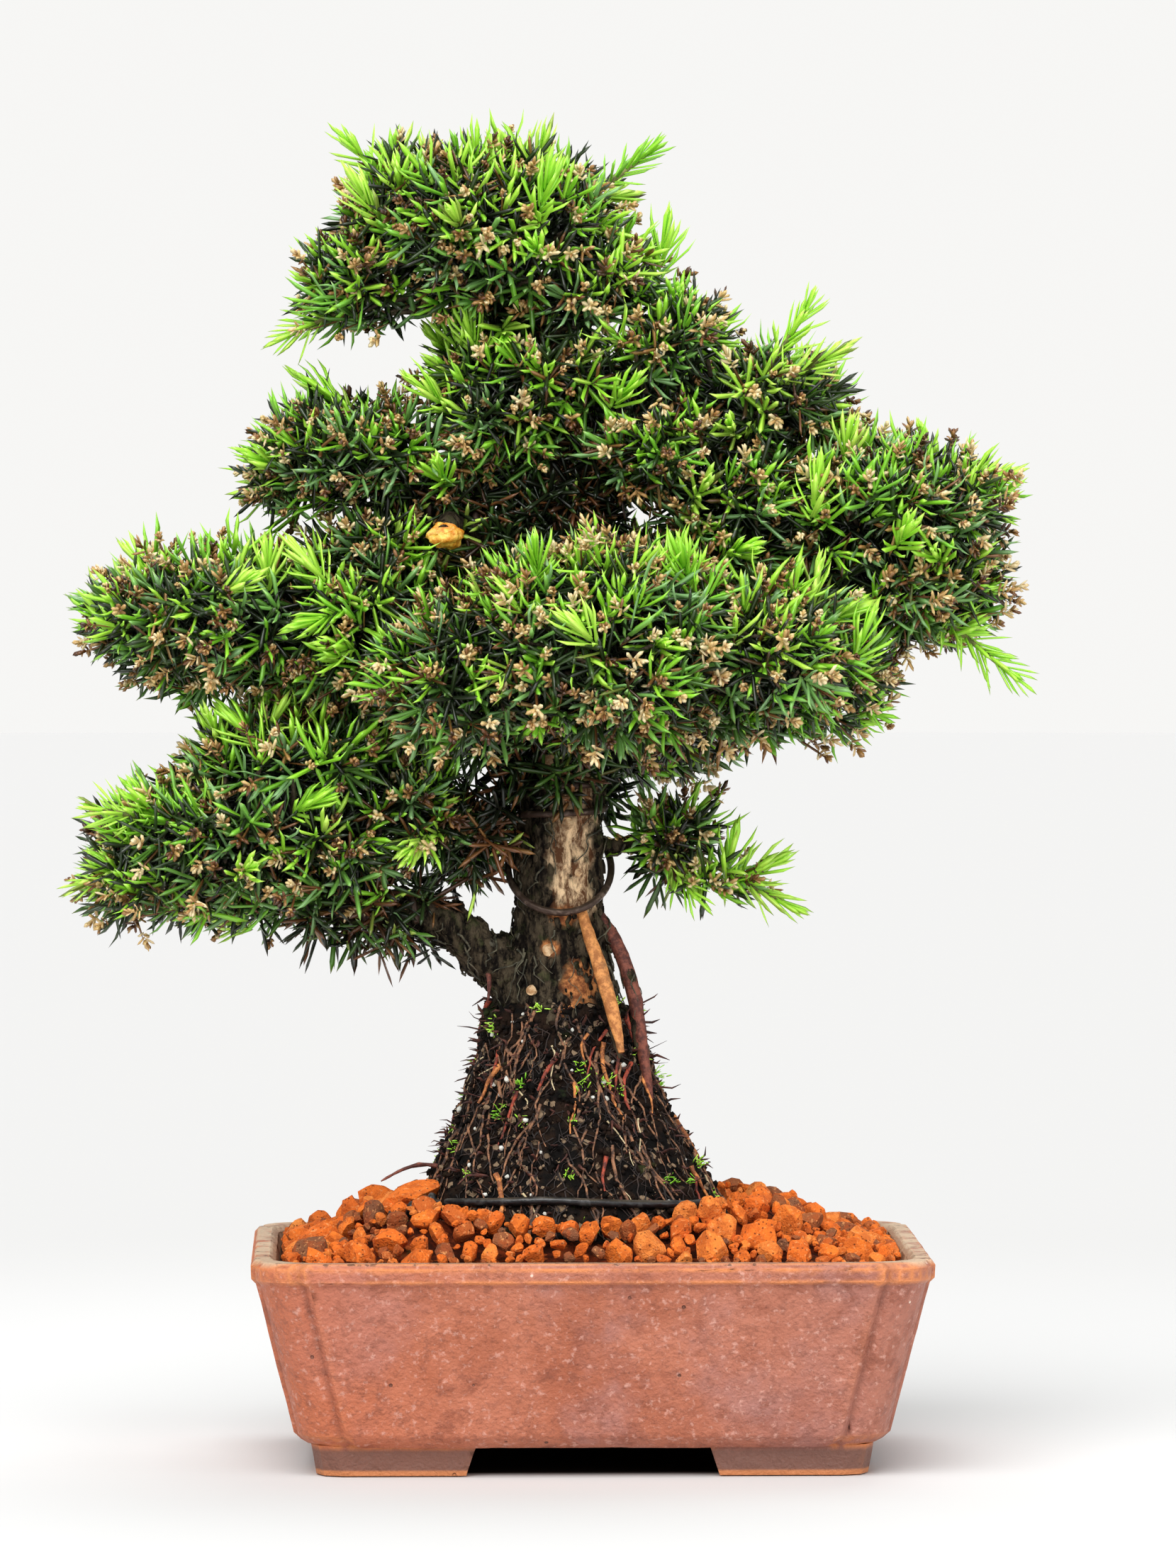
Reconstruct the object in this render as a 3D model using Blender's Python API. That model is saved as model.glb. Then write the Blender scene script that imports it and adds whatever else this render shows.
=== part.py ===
"""A small needle-leaf bonsai in an unglazed oblong pot, in metres, +Z up, front towards -Y.

The pot stands on four corner feet and holds a soil bed, a layer of gravel and the tall root mound that the
tree grows from. The crown is a set of foliage pads round one solid of roots, trunk and boughs.
"""

import math

import bmesh
import bpy
import numpy as np
from mathutils import Matrix, Vector, noise

# Pot
POT_WIDTH = 0.110
POT_DEPTH = 0.084
POT_HEIGHT = 0.035
FOOT_HEIGHT = 0.0046
FLOOR_THICKNESS = 0.0035
WALL_THICKNESS = 0.0045
BODY_TAPER = 0.0066
LIP_HEIGHT = 0.0030
LIP_PROUD = 0.0007
CORNER_LOBE_RADIUS = 0.0070
CORNER_LOBE_SET = 0.0006
GROOVE_WIDTH = 0.0010
GROOVE_DEPTH = 0.0010
CAVITY_CORNER_RADIUS = 0.0095
FOOT_LENGTH_FRONT = 0.0265
FOOT_LENGTH_SIDE = 0.0200
FOOT_THICKNESS = 0.0065
FOOT_SET_IN = 0.0012
FOOT_DRAFT = 0.0008
DRAIN_DIAMETER = 0.0090
DRAIN_SPACING = 0.0500
WIRE_HOLE_DIAMETER = 0.0024
WIRE_HOLE_SPACING = 0.0260

# Drainage hardware
SCREEN_SIZE = 0.0160
SCREEN_THICKNESS = 0.0008
SCREEN_CELLS = 4
SCREEN_BAR = 0.0009
CLIP_WIRE = 0.0010
CLIP_TAIL = 0.0060

# Growing medium
SOIL_DEPTH_BELOW_RIM = 0.0080
SOIL_FOOT_INSET = 0.0022
SOIL_FOOT_HEIGHT = 0.0018
GRAVEL_BELOW_RIM = 0.0010
GRAVEL_CROWN = 0.0050
GRAVEL_BUMP = 0.0011
GRAVEL_GRAIN = 260
MOUND_HEIGHT = 0.0380
MOUND_FOOT_RADIUS = 0.0345
MOUND_TOP_RADIUS = 0.0125
MOUND_DEPTH_SHARE = 0.86
MOUND_BUMP = 0.0011
MOUND_GRAIN = 160
MOUND_FLARE = 1.45
MOUND_FOOT_X = -0.0020

# Tree
TRUNK_CLEAR_LENGTH = 0.0130
TRUNK_RADIUS = 0.0070
CROWN_WIDTH = 0.152
CROWN_DEPTH = 0.100
CROWN_HEIGHT = 0.131
PAD_LUMP = 0.0016
WOOD_VOXEL = 0.0008
PAD_VOXEL = 0.0016
WOOD_TRIANGLES = 1500
PAD_TRIANGLES = 230

# Wires
SHAPING_WIRE = 0.0012
ANCHOR_WIRE = 0.0014
TWIST_DIAMETER = 0.0028
LOOP_SLACK = 0.0003
LOOP_MIDDLE_STEP = 10.5
LOOP_TILT_STEPS = 7.0

# Fits
TOUCH_GAP = 0.0003
LEAST_LEFT = 0.5  # share of a pad's volume that any one cut leaves
ROOT_GAP = 0.0005
PAD_GAP = 0.0005
WIRE_GAP = 0.0006

# Heights that follow from the sizes above
FLOOR_TOP = FOOT_HEIGHT + FLOOR_THICKNESS
SOIL_TOP = POT_HEIGHT - SOIL_DEPTH_BELOW_RIM
MOUND_FOOT = SOIL_TOP + TOUCH_GAP
MOUND_TOP = POT_HEIGHT + MOUND_HEIGHT
CROWN_BASE = MOUND_TOP + TRUNK_CLEAR_LENGTH

# The crown is laid out on a grid of this many steps across, deep and high.
GRID_STEPS = (150, 100, 131)
TRUNK_STEP_X = -4.6

# Every pad is a cluster of lobes: centre x, y, z and radius x, y, z, in steps of the crown's grid.
PAD_LOBES = {
    "foliage_apex": [
        (-17, 0, 114, 24, 22, 16),
        (-36, -3, 106, 11, 11, 9.5),
        (0, -2, 104, 14, 16, 13),
        (-29, -2, 121, 10, 10, 8),
    ],
    "foliage_neck": [
        (-6, 0, 90, 22, 18, 12),
        (10, -5, 95, 15, 14, 10),
        (-15, -5, 84, 13, 13, 8),
    ],
    "foliage_upper_left": [
        (-38, -4, 79, 15.5, 15, 9.5),
        (-46, -3, 74, 9.5, 10, 6.5),
        (-27, -3, 77, 10, 11, 7),
    ],
    "foliage_right_top": [
        (26, -2, 86, 16, 16, 11),
        (13, -9, 79, 13, 13, 10),
        (24, -8, 69, 13, 14, 12),
    ],
    "foliage_right_middle": [
        (45, -4, 69, 23, 20, 13),
        (49, -2, 58, 19, 18, 12),
    ],
    "foliage_right_low": [
        (37, -5, 41, 13, 15, 9.5),
        (30, -8, 38, 12, 13, 8),
    ],
    "foliage_centre_front": [
        (2, -26, 48, 25, 20, 17),
        (-19, -22, 43, 17, 16, 14),
        (24, -20, 46, 19, 18, 14),
    ],
    "foliage_left_middle": [
        (-59, -4, 51, 22.5, 20, 13),
        (-38, -8, 51, 16, 16, 13),
        (-33, -4, 62, 13, 13, 8),
    ],
    "foliage_left_low": [
        (-54, -4, 15, 27, 22, 13.5),
        (-67, -4, 8.5, 15.5, 16, 8),
        (-48, -7, 28, 18, 18, 10),
        (-31, -6, 20, 13, 14, 10),
    ],
    "foliage_right_sprig": [
        (12, -1, 16, 7.5, 7, 6.5),
        (21, -2, 9, 6.5, 5, 4.5),
    ],
    "foliage_back_top": [
        (-4, 24, 82, 20, 16, 15),
        (12, 22, 88, 12, 12, 10),
    ],
    "foliage_back_middle": [
        (-6, 31, 56, 24, 20, 13),
        (-24, 28, 62, 13, 14, 10),
    ],
    "foliage_back_right": [
        (30, 25, 50, 20, 19, 13),
        (40, 18, 61, 13, 13, 9),
    ],
    "foliage_back_left": [
        (-34, 26, 35, 21, 19, 12),
        (-46, 20, 27, 13, 14, 9),
    ],
    "foliage_back_low": [
        (8, 30, 32, 18, 16, 9),
    ],
}

# Boughs, each from the trunk outwards: x, y, z and radius, in steps of the crown's grid.
BOUGHS = {
    "low_left": [(-8, 0, -11, 4.6), (-15, -1, -5, 4.3), (-21, -2, 0.5, 3.7), (-28, -3, 3.2, 3.0),
                 (-38, -4, 4.4, 2.3), (-52, -4, 6, 1.6), (-64, -4, 8, 1.1)],
    "left_middle": [(-5, 0, 42, 3.6), (-20, -2, 45, 2.9), (-40, -5, 49, 2.1), (-60, -4, 52, 1.3)],
    "upper_left": [(-7, 0, 64, 3.4), (-19, -4, 66, 2.8), (-31, -4, 72, 2.0), (-41, -4, 77, 1.3)],
    "right_top": [(-5, 0, 72, 3.2), (8, -3, 79, 2.5), (24, -3, 84, 1.4)],
    "right_middle": [(-3, 0, 49, 3.6), (14, -2, 57, 2.8), (32, -3, 62, 2.1), (52, -3, 66, 1.3)],
    "right_low": [(-3, 0, 37, 3.2), (14, -4, 36, 2.4), (34, -5, 40, 1.4)],
    "right_sprig": [(-2, 0, 14.5, 1.5), (6, -1, 14, 1.3), (14, -1, 12.5, 1.1), (22, -2, 8, 0.9)],
    "centre_front": [(-4, 0, 37, 3.4), (-1, -12, 38, 2.6), (4, -28, 44, 1.6)],
    "centre_front_left": [(-1, -12, 38, 2.4), (-12, -18, 40, 1.8), (-22, -22, 42, 1.2)],
    "back_top": [(-7, 0, 76, 3.0), (-5, 12, 79, 2.2), (-3, 26, 82, 1.3)],
    "back_middle": [(-4, 0, 50, 3.2), (-6, 14, 53, 2.4), (-8, 32, 56, 1.4)],
    "back_right": [(-3, 0, 42, 3.0), (12, 12, 46, 2.2), (31, 25, 50, 1.3)],
    "back_left": [(-5, 0, 38, 3.0), (-18, 12, 36, 2.3), (-35, 25, 34, 1.3)],
    "back_low": [(-4, 0, 37, 2.8), (1, 14, 34, 2.0), (7, 29, 32, 1.2)],
}

# Surface roots that leave the trunk and enter the mound:
# x and y from the trunk, height above the mound's top, radius.
SURFACE_ROOTS = {
    "right_inner": [(0.0034, -0.0052, 0.0135, 0.0010), (0.0062, -0.0090, 0.0080, 0.0012),
                    (0.0082, -0.0114, 0.0010, 0.0011), (0.0098, -0.0128, -0.0080, 0.0010)],
    "right_outer": [(0.0055, -0.0010, 0.0160, 0.0010), (0.0098, -0.0030, 0.0100, 0.0010),
                    (0.0122, -0.0050, 0.0020, 0.0010), (0.0132, -0.0060, -0.0070, 0.0010)],
}

CLAY = ("fired_clay", (0.36, 0.13, 0.075), 0.62, 0.0)
MESH_PLASTIC = ("screen_plastic", (0.03, 0.03, 0.03), 0.5, 0.0)
ALUMINIUM_WIRE = ("bright_wire", (0.62, 0.62, 0.62), 0.35, 1.0)
POTTING_SOIL = ("potting_soil", (0.05, 0.035, 0.025), 0.95, 0.0)
LAVA_GRAVEL = ("lava_gravel", (0.50, 0.13, 0.035), 0.9, 0.0)
ROOT_SOIL = ("root_soil", (0.035, 0.022, 0.014), 0.95, 0.0)
BARK = ("bark", (0.17, 0.12, 0.08), 0.9, 0.0)
BROWN_WIRE = ("brown_wire", (0.13, 0.075, 0.05), 0.42, 1.0)
BLACK_WIRE = ("black_wire", (0.015, 0.015, 0.017), 0.4, 1.0)
NEEDLES = ("needles", (0.10, 0.26, 0.035), 0.55, 0.0)


# --- the scene, materials and small tools ---------------------------------------------------------


def clear_scene():
    for obj in list(bpy.data.objects):
        bpy.data.objects.remove(obj)


def material(finish):
    name, colour, roughness, metallic = finish
    made = bpy.data.materials.get(name)
    if made is None:
        made = bpy.data.materials.new(name)
        made.use_nodes = True
        shader = made.node_tree.nodes["Principled BSDF"]
        shader.inputs["Base Color"].default_value = (*colour, 1.0)
        shader.inputs["Roughness"].default_value = roughness
        shader.inputs["Metallic"].default_value = metallic
        made.diffuse_color = (*colour, 1.0)
    return made


def new_object(name, bm, finish=None):
    """An object from a bmesh, with its faces pointing out. With no finish it is a hidden cutter."""
    bmesh.ops.recalc_face_normals(bm, faces=bm.faces)
    mesh = bpy.data.meshes.new(name)
    bm.to_mesh(mesh)
    bm.free()
    obj = bpy.data.objects.new(name, mesh)
    bpy.context.scene.collection.objects.link(obj)
    if finish is None:
        obj.hide_render = True
        obj.display_type = "WIRE"
    else:
        mesh.materials.append(material(finish))
    return obj


def apply_modifiers(obj):
    """Puts the evaluated shape into the object's own mesh and drops the modifiers."""
    bpy.context.view_layer.update()
    evaluated = obj.evaluated_get(bpy.context.evaluated_depsgraph_get())
    mesh = bpy.data.meshes.new_from_object(evaluated)
    obj.modifiers.clear()
    obj.data = mesh


def boolean(obj, other, operation, solver="EXACT"):
    step = obj.modifiers.new(operation.lower(), "BOOLEAN")
    step.operation = operation
    step.solver = solver
    step.object = other
    apply_modifiers(obj)


def fuse_voxels(obj, voxel, triangles):
    """Fuses overlapping closed shapes into one skin and thins it to about the given number of triangles."""
    fuse = obj.modifiers.new("fuse", "REMESH")
    fuse.mode = "VOXEL"
    fuse.voxel_size = voxel
    apply_modifiers(obj)
    thin = obj.modifiers.new("thin", "DECIMATE")
    thin.ratio = min(1.0, triangles / (2 * len(obj.data.polygons)))
    thin.use_collapse_triangulate = True
    apply_modifiers(obj)


def grown_copy(obj, gap):
    """A hidden cutter: the object's shape moved outwards by the gap."""
    bm = bmesh.new()
    bm.from_mesh(obj.data)
    bmesh.ops.triangulate(bm, faces=bm.faces)
    bm.normal_update()
    for vert in bm.verts:
        outwards = sum((face.normal for face in vert.link_faces), Vector()).normalized()
        least = min(outwards.dot(face.normal) for face in vert.link_faces)
        vert.co += outwards * gap / max(least, 0.4)
    return new_object(obj.name + "_cutter", bm)


def body_of(face):
    """All the faces joined to this one."""
    found = {face}
    to_search = [face]
    while to_search:
        here = to_search.pop()
        for edge in here.edges:
            for other in edge.link_faces:
                if other not in found:
                    found.add(other)
                    to_search.append(other)
    return found


def keep_largest_body(obj):
    """Drops the crumbs that a cut left loose and keeps the main body."""
    bm = bmesh.new()
    bm.from_mesh(obj.data)
    bmesh.ops.triangulate(bm, faces=bm.faces)
    left = set(bm.faces)
    bodies = []
    while left:
        body = body_of(next(iter(left)))
        bodies.append(body)
        left -= body
    largest = max(bodies, key=lambda body: sum(face.calc_area() for face in body))
    crumbs = [face for face in bm.faces if face not in largest]
    bmesh.ops.delete(bm, geom=crumbs, context="FACES")
    bm.to_mesh(obj.data)
    bm.free()


def volume_of(mesh):
    bm = bmesh.new()
    bm.from_mesh(mesh)
    volume = bm.calc_volume()
    bm.free()
    return volume


def cut_clear(obj, others, gap):
    """Cuts the object back so that it keeps the gap to each of the others."""
    for other in others:
        cutter = grown_copy(other, gap)
        whole = obj.data.copy()
        boolean(obj, cutter, "DIFFERENCE")
        keep_largest_body(obj)
        if volume_of(obj.data) < LEAST_LEFT * volume_of(whole):
            # The exact solver can lose the outside of a pad that the trunk runs right through.
            obj.data = whole
            boolean(obj, cutter, "DIFFERENCE", "MANIFOLD")
            keep_largest_body(obj)
        bpy.data.objects.remove(cutter)


def on_grid(x, y, z):
    """A point of the crown, from steps of its grid."""
    return Vector((
        x * CROWN_WIDTH / GRID_STEPS[0],
        y * CROWN_DEPTH / GRID_STEPS[1],
        CROWN_BASE + z * CROWN_HEIGHT / GRID_STEPS[2],
    ))


def loft(bm, rings):
    """Side faces through rings of points, which all have the same count, and the rings' own verts."""
    rows = [[bm.verts.new(point) for point in ring] for ring in rings]
    count = len(rows[0])
    for low, high in zip(rows, rows[1:]):
        for i in range(count):
            j = (i + 1) % count
            bm.faces.new((low[i], low[j], high[j], high[i]))
    return rows


# --- tubes ----------------------------------------------------------------------------------------


def smooth_route(points, steps):
    """Catmull-Rom points through the route's own points. Extra values, such as a radius, ride along."""
    points = [np.array(point, float) for point in points]
    padded = [2 * points[0] - points[1], *points, 2 * points[-1] - points[-2]]
    route = []
    for a, b, c, d in zip(padded, padded[1:], padded[2:], padded[3:]):
        for step in range(steps):
            t = step / steps
            route.append(0.5 * (2 * b + (c - a) * t + (2 * a - 5 * b + 4 * c - d) * t**2
                                + (3 * b - a - 3 * c + d) * t**3))
    route.append(points[-1])
    return route


def frames_along(route):
    """A pair of cross directions at each point, carried along the route without twisting."""
    route = [Vector(point[:3]) for point in route]
    directions = []
    for i in range(len(route)):
        before = route[max(i - 1, 0)]
        after = route[min(i + 1, len(route) - 1)]
        directions.append((after - before).normalized())
    side = directions[0].orthogonal().normalized()
    pairs = []
    for direction in directions:
        side = (side - direction * side.dot(direction)).normalized()
        pairs.append((side, direction.cross(side)))
    return pairs


def add_tube(bm, route, radii, sides):
    """A closed tube along a route, with a flat cap at each end."""
    rings = []
    for point, radius, (across, up) in zip(route, radii, frames_along(route)):
        turn = [2 * math.pi * i / sides for i in range(sides)]
        centre = Vector(point[:3])
        rings.append([centre + (across * math.cos(a) + up * math.sin(a)) * radius for a in turn])
    rows = loft(bm, rings)
    bm.faces.new(reversed(rows[0]))
    bm.faces.new(rows[-1])


def wire(name, points, diameter, finish, sides=6, steps=3):
    bm = bmesh.new()
    route = smooth_route(points, steps)
    add_tube(bm, route, [diameter / 2] * len(route), sides)
    return new_object(name, bm, finish)


def coil_round(route, turns, first_angle, diameter, points_per_turn=8):
    """Points of a wire wound round a tapering stem. Each route point holds x, y, z and the stem's radius."""
    pairs = frames_along(route)
    count = max(3, round(turns * points_per_turn) + 1)
    points = []
    for i in range(count):
        place = i / (count - 1) * (len(route) - 1)
        low = min(int(place), len(route) - 2)
        share = place - low
        centre = route[low] * (1 - share) + route[low + 1] * share
        across = pairs[low][0].lerp(pairs[low + 1][0], share).normalized()
        up = pairs[low][1].lerp(pairs[low + 1][1], share).normalized()
        angle = first_angle + 2 * math.pi * turns * i / (count - 1)
        reach = centre[3] + WIRE_GAP + diameter / 2
        points.append(Vector(centre[:3]) + (across * math.cos(angle) + up * math.sin(angle)) * reach)
    return points


# --- pot ------------------------------------------------------------------------------------------


def corner_points(half_width, half_depth):
    """The front right corner: a groove beside each panel and a rounded lobe between the two grooves."""
    reach = CORNER_LOBE_RADIUS + CORNER_LOBE_SET
    panel_end = reach + GROOVE_WIDTH
    centre = (half_width - reach, -half_depth + reach)
    points = [(half_width - panel_end, -half_depth)]
    points.append((half_width - panel_end + GROOVE_WIDTH * 0.9, -half_depth + GROOVE_DEPTH))
    for degrees in (-78, -60, -45, -30, -12):
        angle = math.radians(degrees)
        points.append((centre[0] + CORNER_LOBE_RADIUS * math.cos(angle),
                       centre[1] + CORNER_LOBE_RADIUS * math.sin(angle)))
    points.append((half_width - GROOVE_DEPTH, -half_depth + panel_end - GROOVE_WIDTH * 0.9))
    points.append((half_width, -half_depth + panel_end))
    return points


def plain_corner_points(half_width, half_depth):
    """The same number of points round a plain rounded corner."""
    radius = CAVITY_CORNER_RADIUS
    centre = (half_width - radius, -half_depth + radius)
    angles = [math.radians(-90 + 90 * i / 8) for i in range(9)]
    return [(centre[0] + radius * math.cos(a), centre[1] + radius * math.sin(a)) for a in angles]


def plan_ring(corner, inset, z):
    """A whole ring of the pot's plan from one corner, set in from the rim's outline."""
    points = corner(POT_WIDTH / 2 - inset, POT_DEPTH / 2 - inset)
    front_right = points
    back_right = [(x, -y) for x, y in reversed(points)]
    back_left = [(-x, -y) for x, y in points]
    front_left = [(-x, y) for x, y in reversed(points)]
    return [Vector((x, y, z)) for x, y in front_right + back_right + back_left + front_left]


def wall_inset(z):
    """How far the outer wall stands in from the lip's outline at a height."""
    lip_foot = POT_HEIGHT - LIP_HEIGHT
    share = (lip_foot - z) / (lip_foot - FOOT_HEIGHT)
    return LIP_PROUD + BODY_TAPER * share


def cavity_ring(z, gap=0.0):
    return plan_ring(plain_corner_points, wall_inset(z) + WALL_THICKNESS - LIP_PROUD + gap, z)


def foot(side_x, side_y):
    """An L-shaped foot under one corner, a little narrower at its sole."""
    half_width = POT_WIDTH / 2 - wall_inset(FOOT_HEIGHT) - 2 * FOOT_SET_IN
    half_depth = POT_DEPTH / 2 - wall_inset(FOOT_HEIGHT) - 2 * FOOT_SET_IN
    chamfer = CORNER_LOBE_RADIUS * 0.6
    bm = bmesh.new()
    rings = []
    for z, draft in ((0.0, FOOT_DRAFT), (FOOT_HEIGHT + TOUCH_GAP, 0.0)):
        x_out = half_width - draft
        y_out = half_depth - draft
        x_end = half_width - FOOT_LENGTH_FRONT + 2 * draft
        y_end = half_depth - FOOT_LENGTH_SIDE + 2 * draft
        x_in = half_width - FOOT_THICKNESS + draft
        y_in = half_depth - FOOT_THICKNESS + draft
        outline = [(x_end, y_out), (x_out - chamfer, y_out), (x_out - chamfer * 0.3, y_out - chamfer * 0.3),
                   (x_out, y_out - chamfer), (x_out, y_end), (x_in, y_end), (x_in, y_in), (x_end, y_in)]
        rings.append([Vector((x * side_x, y * side_y, z)) for x, y in outline])
    rows = loft(bm, rings)
    bm.faces.new(rows[0])
    bm.faces.new(rows[1])
    return new_object("foot_shape", bm)


def drill(name, diameter, x, y, sides):
    bm = bmesh.new()
    bmesh.ops.create_cone(bm, cap_ends=True, segments=sides, radius1=diameter / 2, radius2=diameter / 2,
                          depth=4 * FLOOR_THICKNESS, matrix=Matrix.Translation((x, y, FOOT_HEIGHT)))
    return new_object(name, bm)


def make_pot():
    """The fired pot: tapering walls with lobed corners, a proud lip, a floor with holes, and four feet."""
    lip_foot = POT_HEIGHT - LIP_HEIGHT
    edge = 0.0008
    base = wall_inset(FOOT_HEIGHT)
    outer = [
        plan_ring(corner_points, base + 2.4 * edge, FOOT_HEIGHT),
        plan_ring(corner_points, base + 0.9 * edge, FOOT_HEIGHT + edge),
        plan_ring(corner_points, wall_inset(FOOT_HEIGHT + 2.5 * edge), FOOT_HEIGHT + 2.5 * edge),
        plan_ring(corner_points, wall_inset(lip_foot - edge), lip_foot - edge),
        plan_ring(corner_points, 0.2 * edge, lip_foot),
        plan_ring(corner_points, 0.0, POT_HEIGHT - 1.2 * edge),
        plan_ring(corner_points, edge, POT_HEIGHT),
    ]
    inner = [
        cavity_ring(POT_HEIGHT, -edge),
        cavity_ring(POT_HEIGHT - edge),
        cavity_ring(FLOOR_TOP + 2 * edge),
        cavity_ring(FLOOR_TOP, 1.5 * edge),
    ]
    bm = bmesh.new()
    rows = loft(bm, outer + inner)
    bm.faces.new(reversed(rows[0]))
    bm.faces.new(rows[-1])
    pot = new_object("pot", bm, CLAY)
    tools = [foot(x, y) for x in (-1, 1) for y in (-1, 1)]
    for tool in tools:
        boolean(pot, tool, "UNION")
    drills = [drill("drain_drill", DRAIN_DIAMETER, side * DRAIN_SPACING / 2, 0, 16) for side in (-1, 1)]
    for side in (-1, 1):
        drills.append(drill("wire_drill", WIRE_HOLE_DIAMETER, side * WIRE_HOLE_SPACING / 2, 0, 8))
    for tool in drills:
        boolean(pot, tool, "DIFFERENCE")
    for tool in tools + drills:
        bpy.data.objects.remove(tool)
    keep_largest_body(pot)
    return pot


# --- drainage hardware ----------------------------------------------------------------------------


def make_screen(name, x):
    """A square of plastic mesh lying over a drain hole."""
    bm = bmesh.new()
    bmesh.ops.create_grid(bm, x_segments=SCREEN_CELLS, y_segments=SCREEN_CELLS, size=SCREEN_SIZE / 2)
    cells = bmesh.ops.inset_individual(bm, faces=bm.faces, thickness=SCREEN_BAR / 2)
    rims = set(cells["faces"])
    bmesh.ops.delete(bm, geom=[face for face in bm.faces if face not in rims], context="FACES_ONLY")
    sheet = bmesh.ops.extrude_face_region(bm, geom=bm.faces[:])
    raised = [item for item in sheet["geom"] if isinstance(item, bmesh.types.BMVert)]
    bmesh.ops.translate(bm, verts=raised, vec=(0, 0, SCREEN_THICKNESS))
    bmesh.ops.translate(bm, verts=bm.verts, vec=(x, 0, FLOOR_TOP + TOUCH_GAP))
    return new_object(name, bm, MESH_PLASTIC)


def make_clip(name, x):
    """A wire staple over a screen, its legs through the mesh and the drain hole, its tails bent out below."""
    leg = SCREEN_SIZE / SCREEN_CELLS / 2
    off_y = leg
    top = FLOOR_TOP + TOUCH_GAP + SCREEN_THICKNESS + TOUCH_GAP + CLIP_WIRE / 2
    tail_z = FOOT_HEIGHT - TOUCH_GAP - CLIP_WIRE / 2
    corners = [
        (-CLIP_TAIL, tail_z),
        (-leg, tail_z),
        (-leg, top),
        (leg, top),
        (leg, tail_z),
        (CLIP_TAIL, tail_z),
    ]
    points = [Vector((x + dx, off_y, z)) for dx, z in corners]
    rounded = [points[0]]
    for before, here, after in zip(points, points[1:], points[2:]):
        rounded.append(here + (before - here).normalized() * CLIP_WIRE * 0.7)
        rounded.append(here + (after - here).normalized() * CLIP_WIRE * 0.7)
    rounded.append(points[-1])
    bm = bmesh.new()
    add_tube(bm, rounded, [CLIP_WIRE / 2] * len(rounded), 6)
    return new_object(name, bm, ALUMINIUM_WIRE)


# --- soil, gravel and root mound ------------------------------------------------------------------


def make_soil_bed():
    """Soil that fills the pot to below the rim, hollowed over the two screens."""
    bm = bmesh.new()
    low = FLOOR_TOP + TOUCH_GAP
    middle = FLOOR_TOP + SOIL_FOOT_HEIGHT
    rings = [
        cavity_ring(low, SOIL_FOOT_INSET),
        cavity_ring(middle, TOUCH_GAP * 2),
        cavity_ring(SOIL_TOP, TOUCH_GAP * 2),
    ]
    rows = loft(bm, rings)
    bm.faces.new(reversed(rows[0]))
    bm.faces.new(rows[-1])
    bed = new_object("soil_bed", bm, POTTING_SOIL)
    for side in (-1, 1):
        pocket_bm = bmesh.new()
        size = SCREEN_SIZE + 4 * TOUCH_GAP
        height = 2 * (SCREEN_THICKNESS + CLIP_WIRE + 3 * TOUCH_GAP)
        seat = Matrix.Translation((side * DRAIN_SPACING / 2, 0, FLOOR_TOP))
        place = seat @ Matrix.Diagonal((size, size, height, 1))
        bmesh.ops.create_cube(pocket_bm, size=1.0, matrix=place)
        pocket = new_object("screen_pocket", pocket_bm)
        boolean(bed, pocket, "DIFFERENCE")
        bpy.data.objects.remove(pocket)
    return bed


def mound_reach(height_share):
    """Radius of the mound at a share of its height, from 0 at its foot to 1 at its top: a flaring cone."""
    flare = (1 - height_share) ** MOUND_FLARE
    return MOUND_TOP_RADIUS + (MOUND_FOOT_RADIUS - MOUND_TOP_RADIUS) * flare


def mound_point(angle, z, stand_off=0.0):
    """A point on the mound's plain surface, or standing off it."""
    share = (z - MOUND_FOOT) / (MOUND_TOP - MOUND_FOOT)
    reach = mound_reach(min(max(share, 0.0), 1.0)) + stand_off
    centre_x = MOUND_FOOT_X + (trunk_x() - MOUND_FOOT_X) * share
    return Vector((centre_x + reach * math.cos(angle), reach * MOUND_DEPTH_SHARE * math.sin(angle), z))


def make_root_mound():
    """The block of root-bound soil that stands out of the pot round the trunk's foot."""
    bm = bmesh.new()
    rings = []
    levels = 9
    sides = 20
    for level in range(levels):
        z = MOUND_FOOT + (MOUND_TOP - MOUND_FOOT) * level / (levels - 1)
        ring = []
        for i in range(sides):
            point = mound_point(2 * math.pi * i / sides, z)
            bump = noise.noise(point * MOUND_GRAIN) * MOUND_BUMP if 0 < level < levels - 1 else 0.0
            outwards = Vector((point.x, point.y, 0)).normalized()
            ring.append(point + outwards * bump)
        rings.append(ring)
    rows = loft(bm, rings)
    bm.faces.new(reversed(rows[0]))
    bm.faces.new(rows[-1])
    return new_object("root_mound", bm, ROOT_SOIL)


def make_gravel():
    """The lava gravel between the pot's wall and the mound, crowned towards the mound, with a knobbly top."""
    bm = bmesh.new()
    outer_low = cavity_ring(SOIL_TOP + TOUCH_GAP, TOUCH_GAP * 2)
    outer_high = cavity_ring(POT_HEIGHT - GRAVEL_BELOW_RIM, TOUCH_GAP * 2)
    rings = [outer_low, outer_high]
    for share in (0.86, 0.72, 0.58, 0.44):
        ring = []
        for point in outer_high:
            rise = GRAVEL_CROWN * (1 - share) / 0.5
            bump = noise.noise(Vector((point.x, point.y, 0)) * share * GRAVEL_GRAIN) * GRAVEL_BUMP
            ring.append(Vector((point.x * share, point.y * share, point.z + rise + bump)))
        rings.append(ring)
    rows = loft(bm, rings)
    bm.faces.new(reversed(rows[0]))
    bm.faces.new(rows[-1])
    return new_object("gravel", bm, LAVA_GRAVEL)


# --- wood -----------------------------------------------------------------------------------------


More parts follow.
